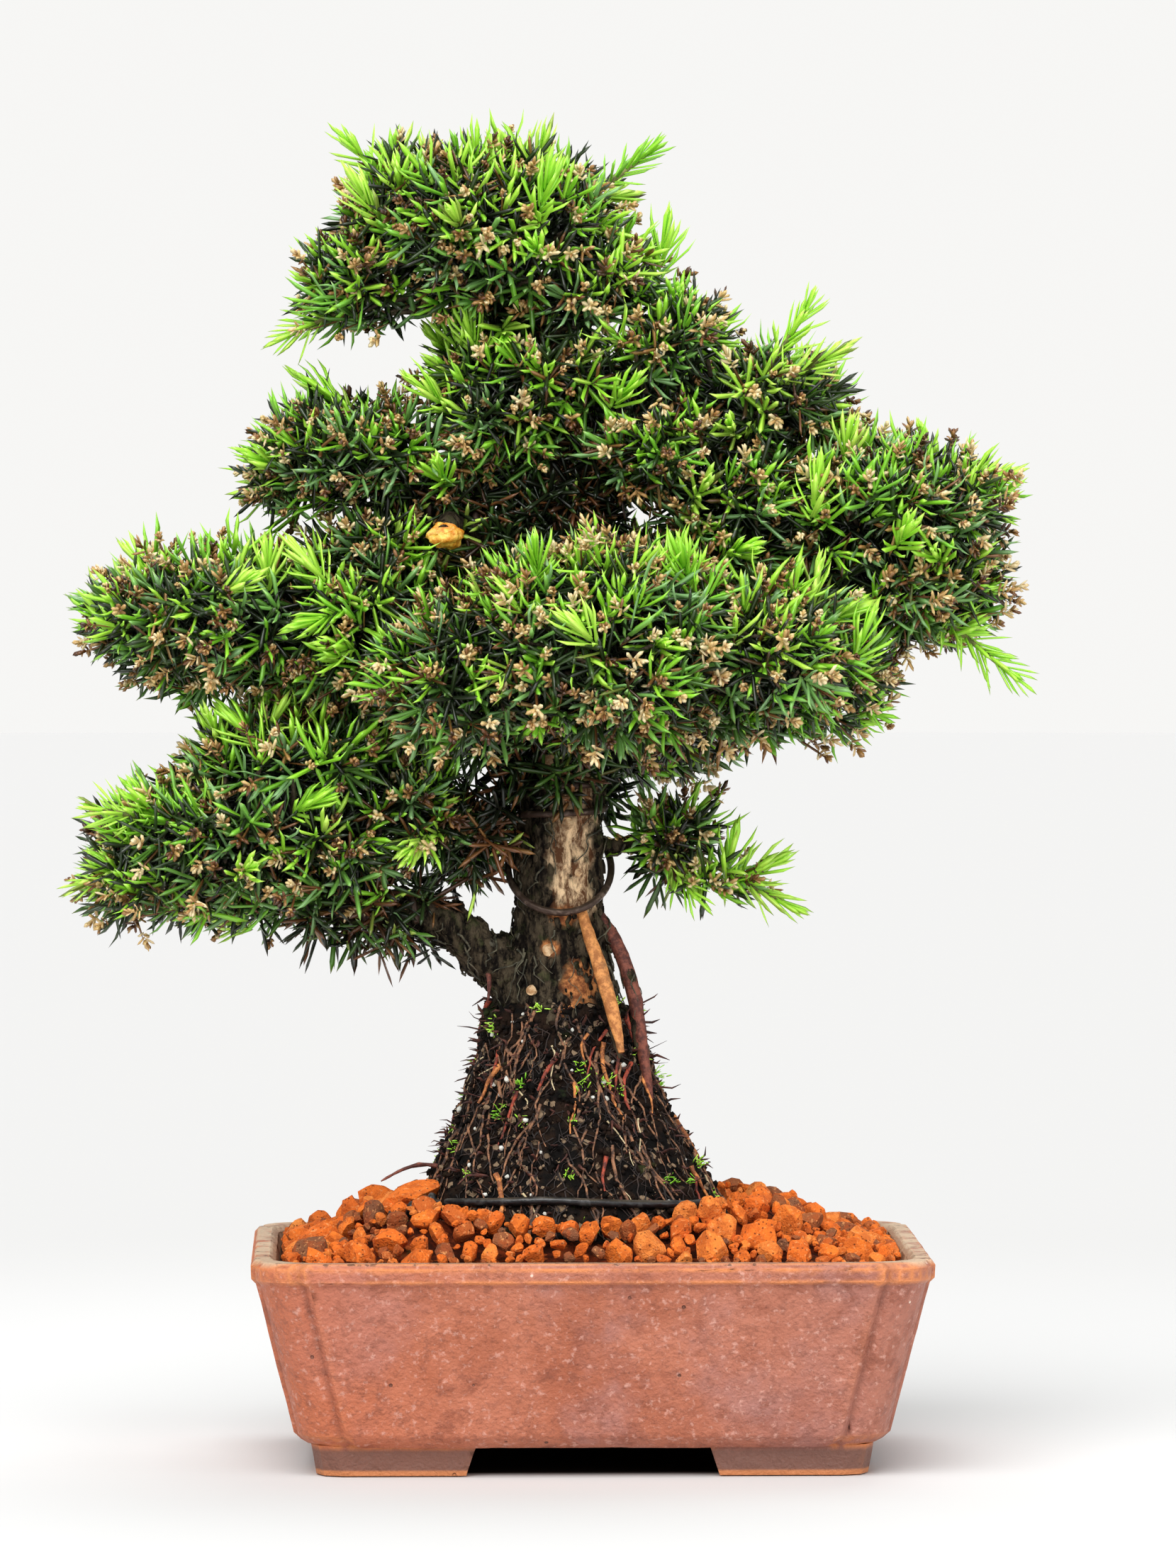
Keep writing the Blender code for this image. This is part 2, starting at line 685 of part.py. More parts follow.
def trunk_x():
    return TRUNK_STEP_X * CROWN_WIDTH / GRID_STEPS[0]


def trunk_route():
    """Trunk points from its buried foot to the leader in the apex, each with the stem's radius."""
    x = trunk_x()
    route = [
        (x, 0, MOUND_TOP - 0.030, TRUNK_RADIUS * 1.35),
        (x, 0, MOUND_TOP - 0.014, TRUNK_RADIUS * 1.25),
        (x, 0, MOUND_TOP, TRUNK_RADIUS * 1.12),
    ]
    grown = [(-4.6, 0, 2, 1.00), (-4.8, 0, 19, 0.96), (-3.4, 0, 43, 0.86), (-4.6, 0, 65, 0.72),
             (-8, 0, 84, 0.57), (-14, 0, 104, 0.36), (-17, 0, 117, 0.22)]
    for step_x, step_y, step_z, share in grown:
        route.append((*on_grid(step_x, step_y, step_z), TRUNK_RADIUS * share))
    return smooth_route(route, 3)


def bough_route(name):
    """A bough's points with its radius, which scales with the trunk's."""
    unit = TRUNK_RADIUS / 7
    return smooth_route([(*on_grid(x, y, z), radius * unit) for x, y, z, radius in BOUGHS[name]], 4)


def root_route(name):
    x = trunk_x()
    grow = TRUNK_RADIUS / 0.0070
    points = [(x + dx * grow, dy * grow, MOUND_TOP + dz, r) for dx, dy, dz, r in SURFACE_ROOTS[name]]
    return smooth_route(points, 4)


def buried_roots():
    """Roots that spread from the trunk's foot inside the mound."""
    for i in range(5):
        angle = 2 * math.pi * (i + 0.3) / 5
        start = (trunk_x(), 0, MOUND_TOP - 0.020, TRUNK_RADIUS * 0.75)
        middle = mound_point(angle, MOUND_TOP - 0.030, -0.009)
        end = mound_point(angle + 0.2, POT_HEIGHT - 0.002, -0.010)
        yield smooth_route([start, (*middle, TRUNK_RADIUS * 0.42), (*end, TRUNK_RADIUS * 0.2)], 3)


def make_wood():
    """Roots, trunk and boughs, grown as one piece."""
    bm = bmesh.new()
    routes = [(trunk_route(), 14)]
    routes += [(bough_route(name), 8) for name in BOUGHS]
    routes += [(root_route(name), 8) for name in SURFACE_ROOTS]
    routes += [(route, 8) for route in buried_roots()]
    for route, sides in routes:
        add_tube(bm, route, [point[3] for point in route], sides)
    wood = new_object("roots_trunk_and_boughs", bm, BARK)
    fuse_voxels(wood, WOOD_VOXEL, WOOD_TRIANGLES)
    keep_largest_body(wood)
    return wood


# --- wires ----------------------------------------------------------------------------------------


def stretch(route, first, last):
    """The part of a route between two shares of its points."""
    count = len(route) - 1
    return route[round(first * count):round(last * count) + 1]


def trunk_between(low_step, high_step):
    low = on_grid(0, 0, low_step).z
    high = on_grid(0, 0, high_step).z
    return [point for point in trunk_route() if low <= point[2] <= high]


def trunk_loop_points():
    """A ring that hangs low across the trunk's front and climbs to its back, open behind."""
    reach = TRUNK_RADIUS + WIRE_GAP + SHAPING_WIRE / 2 + LOOP_SLACK
    points = []
    for degrees in range(105, 440, 22):
        angle = math.radians(degrees)
        height = on_grid(0, 0, LOOP_MIDDLE_STEP + LOOP_TILT_STEPS * math.sin(angle)).z
        points.append(Vector((trunk_x() + reach * math.cos(angle), reach * math.sin(angle), height)))
    return points


def make_shaping_wires():
    """Training wires round the trunk and wound on two boughs."""
    neck = coil_round(trunk_between(17, 30), 1.7, math.radians(170), SHAPING_WIRE, 12)
    low = coil_round(stretch(bough_route("low_left"), 0.50, 0.98), 3.5, 0.4, SHAPING_WIRE, 8)
    upper = coil_round(stretch(bough_route("upper_left"), 0.35, 0.95), 3.0, 1.2, SHAPING_WIRE, 8)
    return [
        wire("trunk_loop_wire", trunk_loop_points(), SHAPING_WIRE, BROWN_WIRE, steps=2),
        wire("neck_wire", neck, SHAPING_WIRE, BROWN_WIRE, steps=1),
        wire("low_bough_wire", low, SHAPING_WIRE, BROWN_WIRE, steps=1),
        wire("upper_bough_wire", upper, SHAPING_WIRE, BROWN_WIRE, steps=1),
    ]


def make_anchor_wires():
    """The black tie-down wire round the mound's front, and its twisted end on the gravel."""
    z = POT_HEIGHT + 0.0085
    points = []
    for i in range(9):
        angle = math.radians(215 + 120 * i / 8)
        points.append(mound_point(angle, z - 0.0012 * abs(i - 3) / 4, ANCHOR_WIRE * 0.5))
    points.append(mound_point(math.radians(343), POT_HEIGHT + 0.002, ANCHOR_WIRE * 0.8))
    points.append(mound_point(math.radians(347), SOIL_TOP + 0.003, ANCHOR_WIRE))
    tie = wire("anchor_wire", points, ANCHOR_WIRE, BLACK_WIRE, steps=2)
    knot = points[0]
    tail = [knot + Vector((-0.0016, -0.0010, 0.0004)), knot + Vector((-0.0050, -0.0030, -0.0006)),
            knot + Vector((-0.0095, -0.0042, -0.0026))]
    twist = wire("anchor_wire_twist", tail, TWIST_DIAMETER, BLACK_WIRE, sides=8, steps=3)
    return [tie, twist]


# --- foliage --------------------------------------------------------------------------------------


def make_pad(name, lobes):
    """A lumpy pad of foliage from its lobes."""
    bm = bmesh.new()
    for x, y, z, rx, ry, rz in lobes:
        size = on_grid(rx, ry, rz) - on_grid(0, 0, 0)
        place = Matrix.Translation(on_grid(x, y, z)) @ Matrix.Diagonal((*size, 1))
        bmesh.ops.create_icosphere(bm, subdivisions=3, radius=1.0, matrix=place)
    for vert in bm.verts:
        lump = noise.noise(vert.co * 90) * PAD_LUMP
        centre = on_grid(lobes[0][0], lobes[0][1], lobes[0][2])
        vert.co += (vert.co - centre).normalized() * lump
    pad = new_object(name, bm, NEEDLES)
    fuse_voxels(pad, PAD_VOXEL, PAD_TRIANGLES)
    return pad


def make_foliage(hard_pieces):
    """Every pad, cut back from the pads before it, then from the wood and the wires that run into it."""
    pads = [make_pad(name, lobes) for name, lobes in PAD_LOBES.items()]
    shapes = [grown_copy(pad, PAD_GAP) for pad in pads]
    for i, pad in enumerate(pads):
        for shape in shapes[:i]:
            if boxes_meet(pad, shape):
                boolean(pad, shape, "DIFFERENCE")
                keep_largest_body(pad)
        cut_clear(pad, [piece for piece in hard_pieces if boxes_meet(pad, piece)], PAD_GAP)
    for shape in shapes:
        bpy.data.objects.remove(shape)
    return pads


def box_of(obj):
    points = np.array([vert.co[:] for vert in obj.data.vertices])
    return points.min(axis=0), points.max(axis=0)


def boxes_meet(one, other):
    (low_a, high_a), (low_b, high_b) = box_of(one), box_of(other)
    return bool((low_a < high_b + PAD_GAP).all() and (low_b < high_a + PAD_GAP).all())


# --- the whole plant ------------------------------------------------------------------------------


def centre_on_origin(pieces):
    """Moves everything so that the middle of the whole plant's footprint is the origin."""
    boxes = [box_of(piece) for piece in pieces]
    low = np.min([box[0] for box in boxes], axis=0)
    high = np.max([box[1] for box in boxes], axis=0)
    shift = Matrix.Translation((-(low[0] + high[0]) / 2, -(low[1] + high[1]) / 2, -low[2]))
    for piece in pieces:
        piece.data.transform(shift)


def finish_shading(pieces):
    for piece in pieces:
        piece.data.shade_smooth()
        piece.data.set_sharp_from_angle(angle=math.radians(35))


def main():
    clear_scene()
    pot = make_pot()
    hardware = []
    for label, side in (("left", -1), ("right", 1)):
        hardware.append(make_screen("drain_screen_" + label, side * DRAIN_SPACING / 2))
        hardware.append(make_clip("screen_clip_" + label, side * DRAIN_SPACING / 2))
    bed = make_soil_bed()
    wood = make_wood()
    shaping = make_shaping_wires()
    anchors = make_anchor_wires()
    mound = make_root_mound()
    gravel = make_gravel()
    cut_clear(gravel, [mound, *anchors], TOUCH_GAP)
    cut_clear(mound, [wood], ROOT_GAP)
    cut_clear(mound, anchors, TOUCH_GAP)
    foliage = make_foliage([wood, *shaping])
    pieces = [pot, *hardware, bed, mound, gravel, wood, *shaping, *anchors, *foliage]
    centre_on_origin(pieces)
    finish_shading(pieces)


main()
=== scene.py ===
"""A needle-leaved bonsai on a cone of rooty soil in a lobed clay pot, finished over its solid model."""

import contextlib
import math
from collections import namedtuple

import bpy
import numpy as np
from bpy.props import FloatProperty, FloatVectorProperty, IntProperty, PointerProperty
from mathutils import Matrix, Vector, noise
from mathutils.bvhtree import BVHTree
from mathutils.kdtree import KDTree


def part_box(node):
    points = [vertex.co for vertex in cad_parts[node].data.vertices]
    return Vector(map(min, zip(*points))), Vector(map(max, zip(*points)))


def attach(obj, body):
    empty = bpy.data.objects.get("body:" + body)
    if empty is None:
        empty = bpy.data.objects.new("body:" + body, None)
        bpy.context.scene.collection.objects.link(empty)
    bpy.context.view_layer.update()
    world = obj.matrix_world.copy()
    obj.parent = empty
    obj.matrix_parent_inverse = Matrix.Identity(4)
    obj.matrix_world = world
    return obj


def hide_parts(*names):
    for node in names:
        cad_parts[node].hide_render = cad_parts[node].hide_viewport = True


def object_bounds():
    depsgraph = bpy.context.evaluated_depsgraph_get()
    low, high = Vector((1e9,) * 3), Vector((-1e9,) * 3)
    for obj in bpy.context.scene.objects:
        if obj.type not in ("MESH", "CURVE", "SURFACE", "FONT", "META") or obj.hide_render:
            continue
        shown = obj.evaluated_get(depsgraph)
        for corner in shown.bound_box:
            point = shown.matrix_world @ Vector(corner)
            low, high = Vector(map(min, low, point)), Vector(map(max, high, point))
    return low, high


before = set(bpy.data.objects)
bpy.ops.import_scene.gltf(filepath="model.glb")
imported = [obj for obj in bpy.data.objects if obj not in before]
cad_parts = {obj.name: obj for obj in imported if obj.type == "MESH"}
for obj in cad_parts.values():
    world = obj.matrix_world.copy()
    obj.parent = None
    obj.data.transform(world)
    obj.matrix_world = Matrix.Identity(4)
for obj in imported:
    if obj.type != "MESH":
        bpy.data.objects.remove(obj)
CAD_BOX = [list(corner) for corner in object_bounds()]

bl_info = {
    "name": "Bonsai on a soil cone",
    "version": (1, 0, 0),
    "blender": (4, 5, 0),
    "location": "View3D > Sidebar > Bonsai",
    "description": "Finishes a small needle-leaved bonsai in a clay pot over its solid model",
    "category": "Add Mesh",
}

MM = 0.001
MOST_OUTSIDE = 0.027  # share of the box by which needles may stand out of it
GOLDEN_ANGLE = math.radians(137.508)
POT_LOW, POT_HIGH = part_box("pot")
MOUND_LOW, MOUND_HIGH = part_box("root_mound")
MOUND_FOOT = (MOUND_LOW + MOUND_HIGH) / 2
MOUND_REACH = (MOUND_HIGH.x - MOUND_LOW.x) / 2
MOUND_ACROSS = (MOUND_HIGH.x - MOUND_LOW.x) / (MOUND_HIGH.y - MOUND_LOW.y)
GRAVEL_LOW, GRAVEL_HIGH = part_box("gravel")
POT_CENTRE = (POT_LOW + POT_HIGH) / 2
TRUNK_FOOT = Vector((POT_CENTRE.x - 4.6 * MM, POT_CENTRE.y, MOUND_HIGH.z))
PADS = sorted(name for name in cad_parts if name.startswith("foliage_"))
BROWN_WIRES = ["low_bough_wire", "neck_wire", "trunk_loop_wire", "upper_bough_wire"]
MERGE_GAP = 0.01 * MM  # loose triangles of a solid share corners closer than this
VOXEL = 0.55 * MM  # cell in which the soil and the wood are rebuilt before they are roughened
ROOT_STEP = 1.25 * MM  # length of a creeping root's straight bits
FIBRE_STEP = 0.9 * MM
LONGEST_POT_EDGE = 2.2 * MM
SHARP_COSINE = 0.82  # faces turned further apart than this meet in a sharp edge
EDGE_MARK_STEP = 0.5 * MM
GRAVEL_SEED, MOUND_SEED, BARK_SEED, FOLIAGE_SEED = 21, 5, 17, 11
TRIES_PER_STONE = 14
STONE_CHIPS = 5
CRUMBS, PALE_GRAINS, BRISTLES, MOSS_TUFTS, MOSS_LEAVES = 2600, 70, 560, 60, 16
BARK_FLAKES, BARK_FIBRES = 1300, 120
INNER_SHOOTS, FORK_SHOOTS = 1500, 90
CAMERA_AZIMUTH, CAMERA_ELEVATION = math.radians(-1.5), math.radians(4.9)
CAMERA_DISTANCE, CAMERA_AIM_HEIGHT = 1.5, 110.2 * MM
UP, DOWN = Vector((0, 0, 1)), Vector((0, 0, -1))

# A kind of shoot: its number of needles, the stem they stand on, their length and width, how far they lean
# from the stem at its foot and at its tip, in degrees, and how much they bend.
Shoot = namedtuple("Shoot", "count stem long wide foot_lean tip_lean bend")


# --- picking up, copying and handing over pieces ---


def put_down_all():
    """Leaves edit mode and deselects everything."""
    if bpy.context.mode != "OBJECT":
        bpy.ops.object.mode_set(mode="OBJECT")
    bpy.ops.object.select_all(action="DESELECT")


def take_up(piece):
    """Makes one object the only selected one, and the active one."""
    put_down_all()
    piece.select_set(True)
    bpy.context.view_layer.objects.active = piece


@contextlib.contextmanager
def editing(select="SELECT"):
    """Edit mode on the active object, after its points are all selected or deselected, or left as they are."""
    bpy.ops.object.mode_set(mode="EDIT")
    if select:
        bpy.ops.mesh.select_all(action=select)
    yield
    bpy.ops.object.mode_set(mode="OBJECT")


def new_piece(name, mesh):
    piece = bpy.data.objects.new(name, mesh)
    bpy.context.scene.collection.objects.link(piece)
    return piece


def merged_copy(node, name):
    """A copy of a solid of the model, with its loose triangles joined."""
    piece = new_piece(name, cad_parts[node].data.copy())
    piece.data.name = name
    piece.data.materials.clear()
    take_up(piece)
    with editing():
        bpy.ops.mesh.remove_doubles(threshold=MERGE_GAP)
    return piece


def worked(piece, kind, **settings):
    """Adds a modifier with these settings and applies it."""
    take_up(piece)
    modifier = piece.modifiers.new(kind.title(), kind)
    for name, value in settings.items():
        setattr(modifier, name, value)
    bpy.ops.object.modifier_apply(modifier=modifier.name)
    return piece


def points_of(mesh):
    points = np.empty(len(mesh.vertices) * 3)
    mesh.vertices.foreach_get("co", points)
    return points.reshape(-1, 3)


def normals_of(mesh):
    normals = np.empty(len(mesh.vertices) * 3)
    mesh.vertices.foreach_get("normal", normals)
    return normals.reshape(-1, 3)


def put_points(mesh, points):
    mesh.vertices.foreach_set("co", np.asarray(points, float).ravel())
    mesh.update()


def mark(mesh, name, values, domain="POINT"):
    """Stores a number for each point or face, for the material to read."""
    layer = mesh.attributes.new(name, "FLOAT", domain)
    layer.data.foreach_set("value", np.asarray(values, float))


def lumps(points, size, octaves=3, seed=0.0):
    """Noise of this feature size at each point, about -1 to 1."""
    shift = Vector((seed, seed * 1.7, seed * 0.6))
    return np.array([noise.fractal(Vector(p) / size + shift, 0.9, 2.1, octaves) for p in points])


def roughened(piece, size, height, octaves):
    """Raises and lowers a piece's skin in lumps of this size."""
    points = points_of(piece.data)
    relief = lumps(points, size, octaves) * height
    put_points(piece.data, points + normals_of(piece.data) * relief[:, None])


def handed_over(piece, material, nodes=(), smooth_angle=None):
    """Shades a finished piece and says what it rides on, what it is made of and what it stands for."""
    take_up(piece)
    if smooth_angle is None:
        bpy.ops.object.shade_smooth()
    else:
        bpy.ops.object.shade_smooth_by_angle(angle=math.radians(smooth_angle))
    piece.data.materials.clear()
    piece.data.materials.append(material)
    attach(piece, "root")
    if nodes:
        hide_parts(*nodes)
    put_down_all()
    return piece


def surface_of(piece):
    return BVHTree.FromPolygons(
        [tuple(p) for p in points_of(piece.data)], [tuple(f.vertices) for f in piece.data.polygons]
    )


# --- materials ---


def put(tree, kind, inputs=None, **settings):
    """Adds a node; an input's value may be a number, a colour or another node's output."""
    made = tree.nodes.new(kind)
    for name, value in settings.items():
        setattr(made, name, value)
    for name, value in (inputs or {}).items():
        if isinstance(value, bpy.types.NodeSocket):
            tree.links.new(value, made.inputs[name])
        else:
            made.inputs[name].default_value = value
    return made


def times(tree, first, second, operation="MULTIPLY"):
    """Two masks or values multiplied, or added, and kept from 0 to 1."""
    return put(tree, "ShaderNodeMath", {0: first, 1: second}, operation=operation, use_clamp=True).outputs[0]


def laid(tree, under, over, *masks):
    """A colour with another laid over it, as far as all of these masks and shares allow."""
    amount = masks[0]
    for mask in masks[1:]:
        amount = times(tree, amount, mask)
    tints = [tint if isinstance(tint, bpy.types.NodeSocket) else colour(*tint) for tint in (under, over)]
    return put(tree, "ShaderNodeMix", {0: amount, 6: tints[0], 7: tints[1]}, data_type="RGBA").outputs[2]


def spread(tree, value, low, high, to_low=0.0, to_high=1.0):
    """A value's range stretched to another, with soft ends."""
    inputs = {"Value": value, "From Min": low, "From Max": high, "To Min": to_low, "To Max": to_high}
    return put(tree, "ShaderNodeMapRange", inputs, interpolation_type="SMOOTHSTEP").outputs[0]


def object_place(tree):
    """Where a point is on its piece."""
    return put(tree, "ShaderNodeTexCoord").outputs["Object"]


def stored(tree, name):
    """A number that the mesh holds under this name."""
    return put(tree, "ShaderNodeAttribute", attribute_name=name).outputs["Fac"]


def few_of(tree, cells, start, end, channel="Red"):
    """A mask that picks out a few cells of a Voronoi pattern."""
    shares = put(tree, "ShaderNodeSeparateColor", {0: cells.outputs["Color"]})
    return spread(tree, shares.outputs[channel], start, end)


def fill_ramp(ramp, stops):
    """Gives a colour ramp these stops."""
    while len(ramp.elements) < len(stops):
        ramp.elements.new(0.5)
    for element, (place, tint) in zip(ramp.elements, stops):
        element.position = place
        element.color = colour(*tint)


def colour(red, green, blue):
    return (red, green, blue, 1.0)


def new_group(name, inputs, outputs):
    """An empty shader group with named sockets, and its input and output nodes."""
    group = bpy.data.node_groups.new(name, "ShaderNodeTree")
    for socket, (kind, default) in inputs.items():
        made = group.interface.new_socket(name=socket, in_out="INPUT", socket_type=kind)
        made.default_value = default
    for socket, kind in outputs.items():
        group.interface.new_socket(name=socket, in_out="OUTPUT", socket_type=kind)
    return group, group.nodes.new("NodeGroupInput"), group.nodes.new("NodeGroupOutput")


def group_in(tree, name, inputs):
    return put(tree, "ShaderNodeGroup", inputs, node_tree=bpy.data.node_groups[name])


def make_patches_group():
    """Soft-edged patches of a given size: a mask from 0 to 1."""
    inputs = {
        "Scale": ("NodeSocketFloat", 100.0),
        "Start": ("NodeSocketFloat", 0.45),
        "End": ("NodeSocketFloat", 0.6),
        "Roughness": ("NodeSocketFloat", 0.6),
    }
    group, start, end = new_group("patches", inputs, {"Mask": "NodeSocketFloat"})
    fed = {name: start.outputs[name] for name in ("Scale", "Roughness")}
    cloud = put(group, "ShaderNodeTexNoise", {"Vector": object_place(group), "Detail": 5.0, **fed})
    mask = spread(group, cloud.outputs["Fac"], start.outputs["Start"], start.outputs["End"])
    group.links.new(mask, end.inputs["Mask"])


def make_grain_group():
    """Coarse and fine grain in one height."""
    inputs = {
        "Coarse": ("NodeSocketFloat", 400.0),
        "Fine": ("NodeSocketFloat", 2000.0),
        "Fine Share": ("NodeSocketFloat", 0.4),
    }
    group, start, end = new_group("grain", inputs, {"Height": "NodeSocketFloat"})
    coarse, fine = (
        put(
            group,
            "ShaderNodeTexNoise",
            {"Vector": object_place(group), "Scale": start.outputs[size], "Detail": detail},
        ).outputs["Fac"]
        for size, detail in (("Coarse", 4.0), ("Fine", 3.0))
    )
    share = times(group, fine, start.outputs["Fine Share"])
    group.links.new(times(group, coarse, share, "ADD"), end.inputs["Height"])


def make_dust_group():
    """Dust that settles on faces turned upwards, in uneven patches."""
    inputs = {
        "Color": ("NodeSocketColor", colour(0.5, 0.5, 0.5)),
        "Dust": ("NodeSocketColor", colour(0.6, 0.5, 0.4)),
        "Amount": ("NodeSocketFloat", 0.5),
    }
    group, start, end = new_group("dust", inputs, {"Color": "NodeSocketColor"})
    turned_to = put(group, "ShaderNodeSeparateXYZ", {0: put(group, "ShaderNodeNewGeometry").outputs["Normal"]})
    upward = spread(group, turned_to.outputs["Z"], 0.2, 0.95)
    uneven = patches(group, 260.0, 0.3, 0.65)
    masks = (upward, uneven, start.outputs["Amount"])
    dusty = laid(group, start.outputs["Color"], start.outputs["Dust"], *masks)
    group.links.new(dusty, end.inputs["Color"])


def patches(tree, scale, start, end, roughness=0.6):
    """A mask of soft-edged patches."""
    inputs = {"Scale": scale, "Start": start, "End": end, "Roughness": roughness}
    return group_in(tree, "patches", inputs).outputs["Mask"]


def grain(tree, coarse, fine, fine_share):
    """The height of a surface's coarse and fine grain."""
    inputs = {"Coarse": coarse, "Fine": fine, "Fine Share": fine_share}
    return group_in(tree, "grain", inputs).outputs["Height"]


def bump(tree, height, depth):
    """The normals of a surface with this height of relief."""
    inputs = {"Height": height, "Distance": depth, "Strength": 1.0}
    return put(tree, "ShaderNodeBump", inputs).outputs["Normal"]


def new_material(name):
    """A material, its tree and its Principled shader."""
    material = bpy.data.materials.new(name)
    material.use_nodes = True
    tree = material.node_tree
    return material, tree, tree.nodes["Principled BSDF"]


def feed(tree, shader, **inputs):
    """Gives a shader's inputs numbers or other nodes' outputs."""
    for name, value in inputs.items():
        socket = shader.inputs[name.replace("_", " ")]
        if isinstance(value, bpy.types.NodeSocket):
            tree.links.new(value, socket)
        else:
            socket.default_value = value


def clay_material(look):
    """Fired clay with flame-dulled patches, pits, grog specks, edges lighter as rubbed wear and as painted
    highlight, painted shade along the creases, and a mineral crust on the rim.
    """
    material, tree, shader = new_material("pot_clay")
    place = object_place(tree)
    at = put(tree, "ShaderNodeSeparateXYZ", {0: place}).outputs
    tint = laid(tree, look.clay_colour, (0.40, 0.115, 0.055), patches(tree, 60.0, 0.42, 0.62))
    tint = laid(tree, tint, look.flame_colour, patches(tree, 38.0, 0.5, 0.68), 0.75)
    left_side = spread(tree, at["X"], POT_CENTRE.x - 12.0 * MM, POT_LOW.x)
    tint = laid(tree, tint, (0.54, 0.140, 0.055), left_side, 0.75)
    right_side = spread(tree, at["X"], POT_CENTRE.x, POT_HIGH.x)
    tint = laid(tree, tint, (0.36, 0.155, 0.125), right_side, 0.45)
    tint = laid(tree, tint, (0.27, 0.072, 0.036), patches(tree, 190.0, 0.50, 0.66, 0.7), 0.6)
    tint = laid(tree, tint, (0.19, 0.058, 0.036), patches(tree, 520.0, 0.52, 0.62, 0.7), 0.35)
    tint = laid(tree, tint, (0.76, 0.42, 0.34), patches(tree, 900.0, 0.55, 0.70), 0.5)

    grog = put(tree, "ShaderNodeTexVoronoi", {"Vector": place, "Scale": 330.0})
    specks = spread(tree, grog.outputs["Distance"], 0.10, 0.05)
    tint = laid(tree, tint, (0.82, 0.62, 0.50), specks, few_of(tree, grog, 0.86, 0.9))
    pits = spread(tree, grog.outputs["Distance"], 0.12, 0.06)
    pits = times(tree, pits, few_of(tree, grog, 0.84, 0.88, "Green"))
    tint = laid(tree, tint, (0.10, 0.035, 0.022), pits, 0.8)

    # Proud edges near the rim and the foot go orange: partly rubbed wear, partly a painted highlight.
    near_rim = spread(tree, at["Z"], POT_HIGH.z - 4.5 * MM, POT_HIGH.z - 3.2 * MM, 0.10, 0.9)
    near_ground = spread(tree, at["Z"], 7.0 * MM, 5.5 * MM)
    rubbed_or_lit_band = times(tree, near_rim, near_ground, "ADD")
    tint = laid(tree, tint, look.rubbed_and_lit_edge_colour, stored(tree, "edge"), rubbed_or_lit_band, patches(tree, 120.0, 0.3, 0.55))
    # Painted shade: the clay is darkened along its hollow edges, where shade falls.
    tint = laid(tree, tint, (0.17, 0.06, 0.04), stored(tree, "crease_shade"), 0.35)
    foot = spread(tree, at["Z"], 4.9 * MM, 3.8 * MM)
    tint = laid(tree, tint, (0.17, 0.080, 0.058), foot, patches(tree, 160.0, 0.12, 0.36), 0.9)
    sole = spread(tree, at["Z"], 1.1 * MM, 0.6 * MM)
    tint = laid(tree, tint, (0.66, 0.24, 0.085), sole, 0.85)
    tint = laid(tree, tint, (0.42, 0.24, 0.14), stored(tree, "inside"))
    off_front = spread(tree, at["Y"], POT_LOW.y + 1.2 * MM, POT_LOW.y + 3.5 * MM, 0.12, 1.0)
    crusted = (stored(tree, "rim"), off_front, patches(tree, 150.0, 0.36, 0.52), 0.85)
    tint = laid(tree, tint, look.crust_colour, *crusted)
    tint = laid(tree, tint, (0.10, 0.05, 0.03), stored(tree, "rim"), patches(tree, 420.0, 0.6, 0.66), 0.8)

    rough = spread(tree, patches(tree, 150.0, 0.3, 0.7), 0.0, 1.0, 0.46, 0.66)
    feed(tree, shader, Base_Color=tint, Roughness=rough, Specular_IOR_Level=0.45)
    height = {0: grain(tree, 260.0, 1700.0, 0.45), 1: times(tree, pits, 0.6)}
    relief = put(tree, "ShaderNodeMath", height, operation="SUBTRACT").outputs[0]
    feed(tree, shader, Normal=bump(tree, relief, 0.75 * MM))
    return material


def stone_material(look):
    """Porous lava stone: each stone has its own red to brown, with pale dust and dark pores."""
    material, tree, shader = new_material("lava_stone")
    ramp = put(tree, "ShaderNodeValToRGB", {"Fac": stored(tree, "shade")})
    stops = [
        (0.0, (0.17, 0.075, 0.04)),
        (0.14, (0.36, 0.105, 0.03)),
        (0.4, look.stone_colour),
        (0.75, (0.86, 0.20, 0.025)),
        (1.0, (0.95, 0.32, 0.07)),
    ]
    fill_ramp(ramp.color_ramp, stops)
    tint = laid(tree, ramp.outputs["Color"], (0.40, 0.070, 0.010), patches(tree, 420.0, 0.42, 0.6), 0.55)
    tint = laid(tree, tint, (0.95, 0.42, 0.15), patches(tree, 1500.0, 0.56, 0.68), 0.6)
    pores = put(tree, "ShaderNodeTexVoronoi", {"Vector": object_place(tree), "Scale": 1500.0})
    dark = spread(tree, pores.outputs["Distance"], 0.34, 0.18)
    tint = laid(tree, tint, (0.09, 0.022, 0.008), dark, few_of(tree, pores, 0.55, 0.6), 0.8)
    feed(tree, shader, Base_Color=tint, Roughness=0.9, Specular_IOR_Level=0.25)
    feed(tree, shader, Normal=bump(tree, grain(tree, 900.0, 3200.0, 0.6), 0.5 * MM))
    return material


def soil_material(name, dark, brown, pale, dryness=0.85):
    """Crumbly soil: near-black with brown grains, a few pale ones and a breath of green."""
    material, tree, shader = new_material(name)
    tint = laid(tree, dark, brown, patches(tree, 330.0, 0.42, 0.62))
    grains = put(tree, "ShaderNodeTexVoronoi", {"Vector": object_place(tree), "Scale": 1100.0})
    tint = laid(tree, tint, pale, few_of(tree, grains, 0.90, 0.93), 0.6)
    tint = laid(tree, tint, (0.05, 0.075, 0.02), patches(tree, 160.0, 0.6, 0.75), 0.5)
    feed(tree, shader, Base_Color=tint, Roughness=dryness, Specular_IOR_Level=0.15)
    feed(tree, shader, Normal=bump(tree, grain(tree, 700.0, 2600.0, 0.6), 0.6 * MM))
    return material


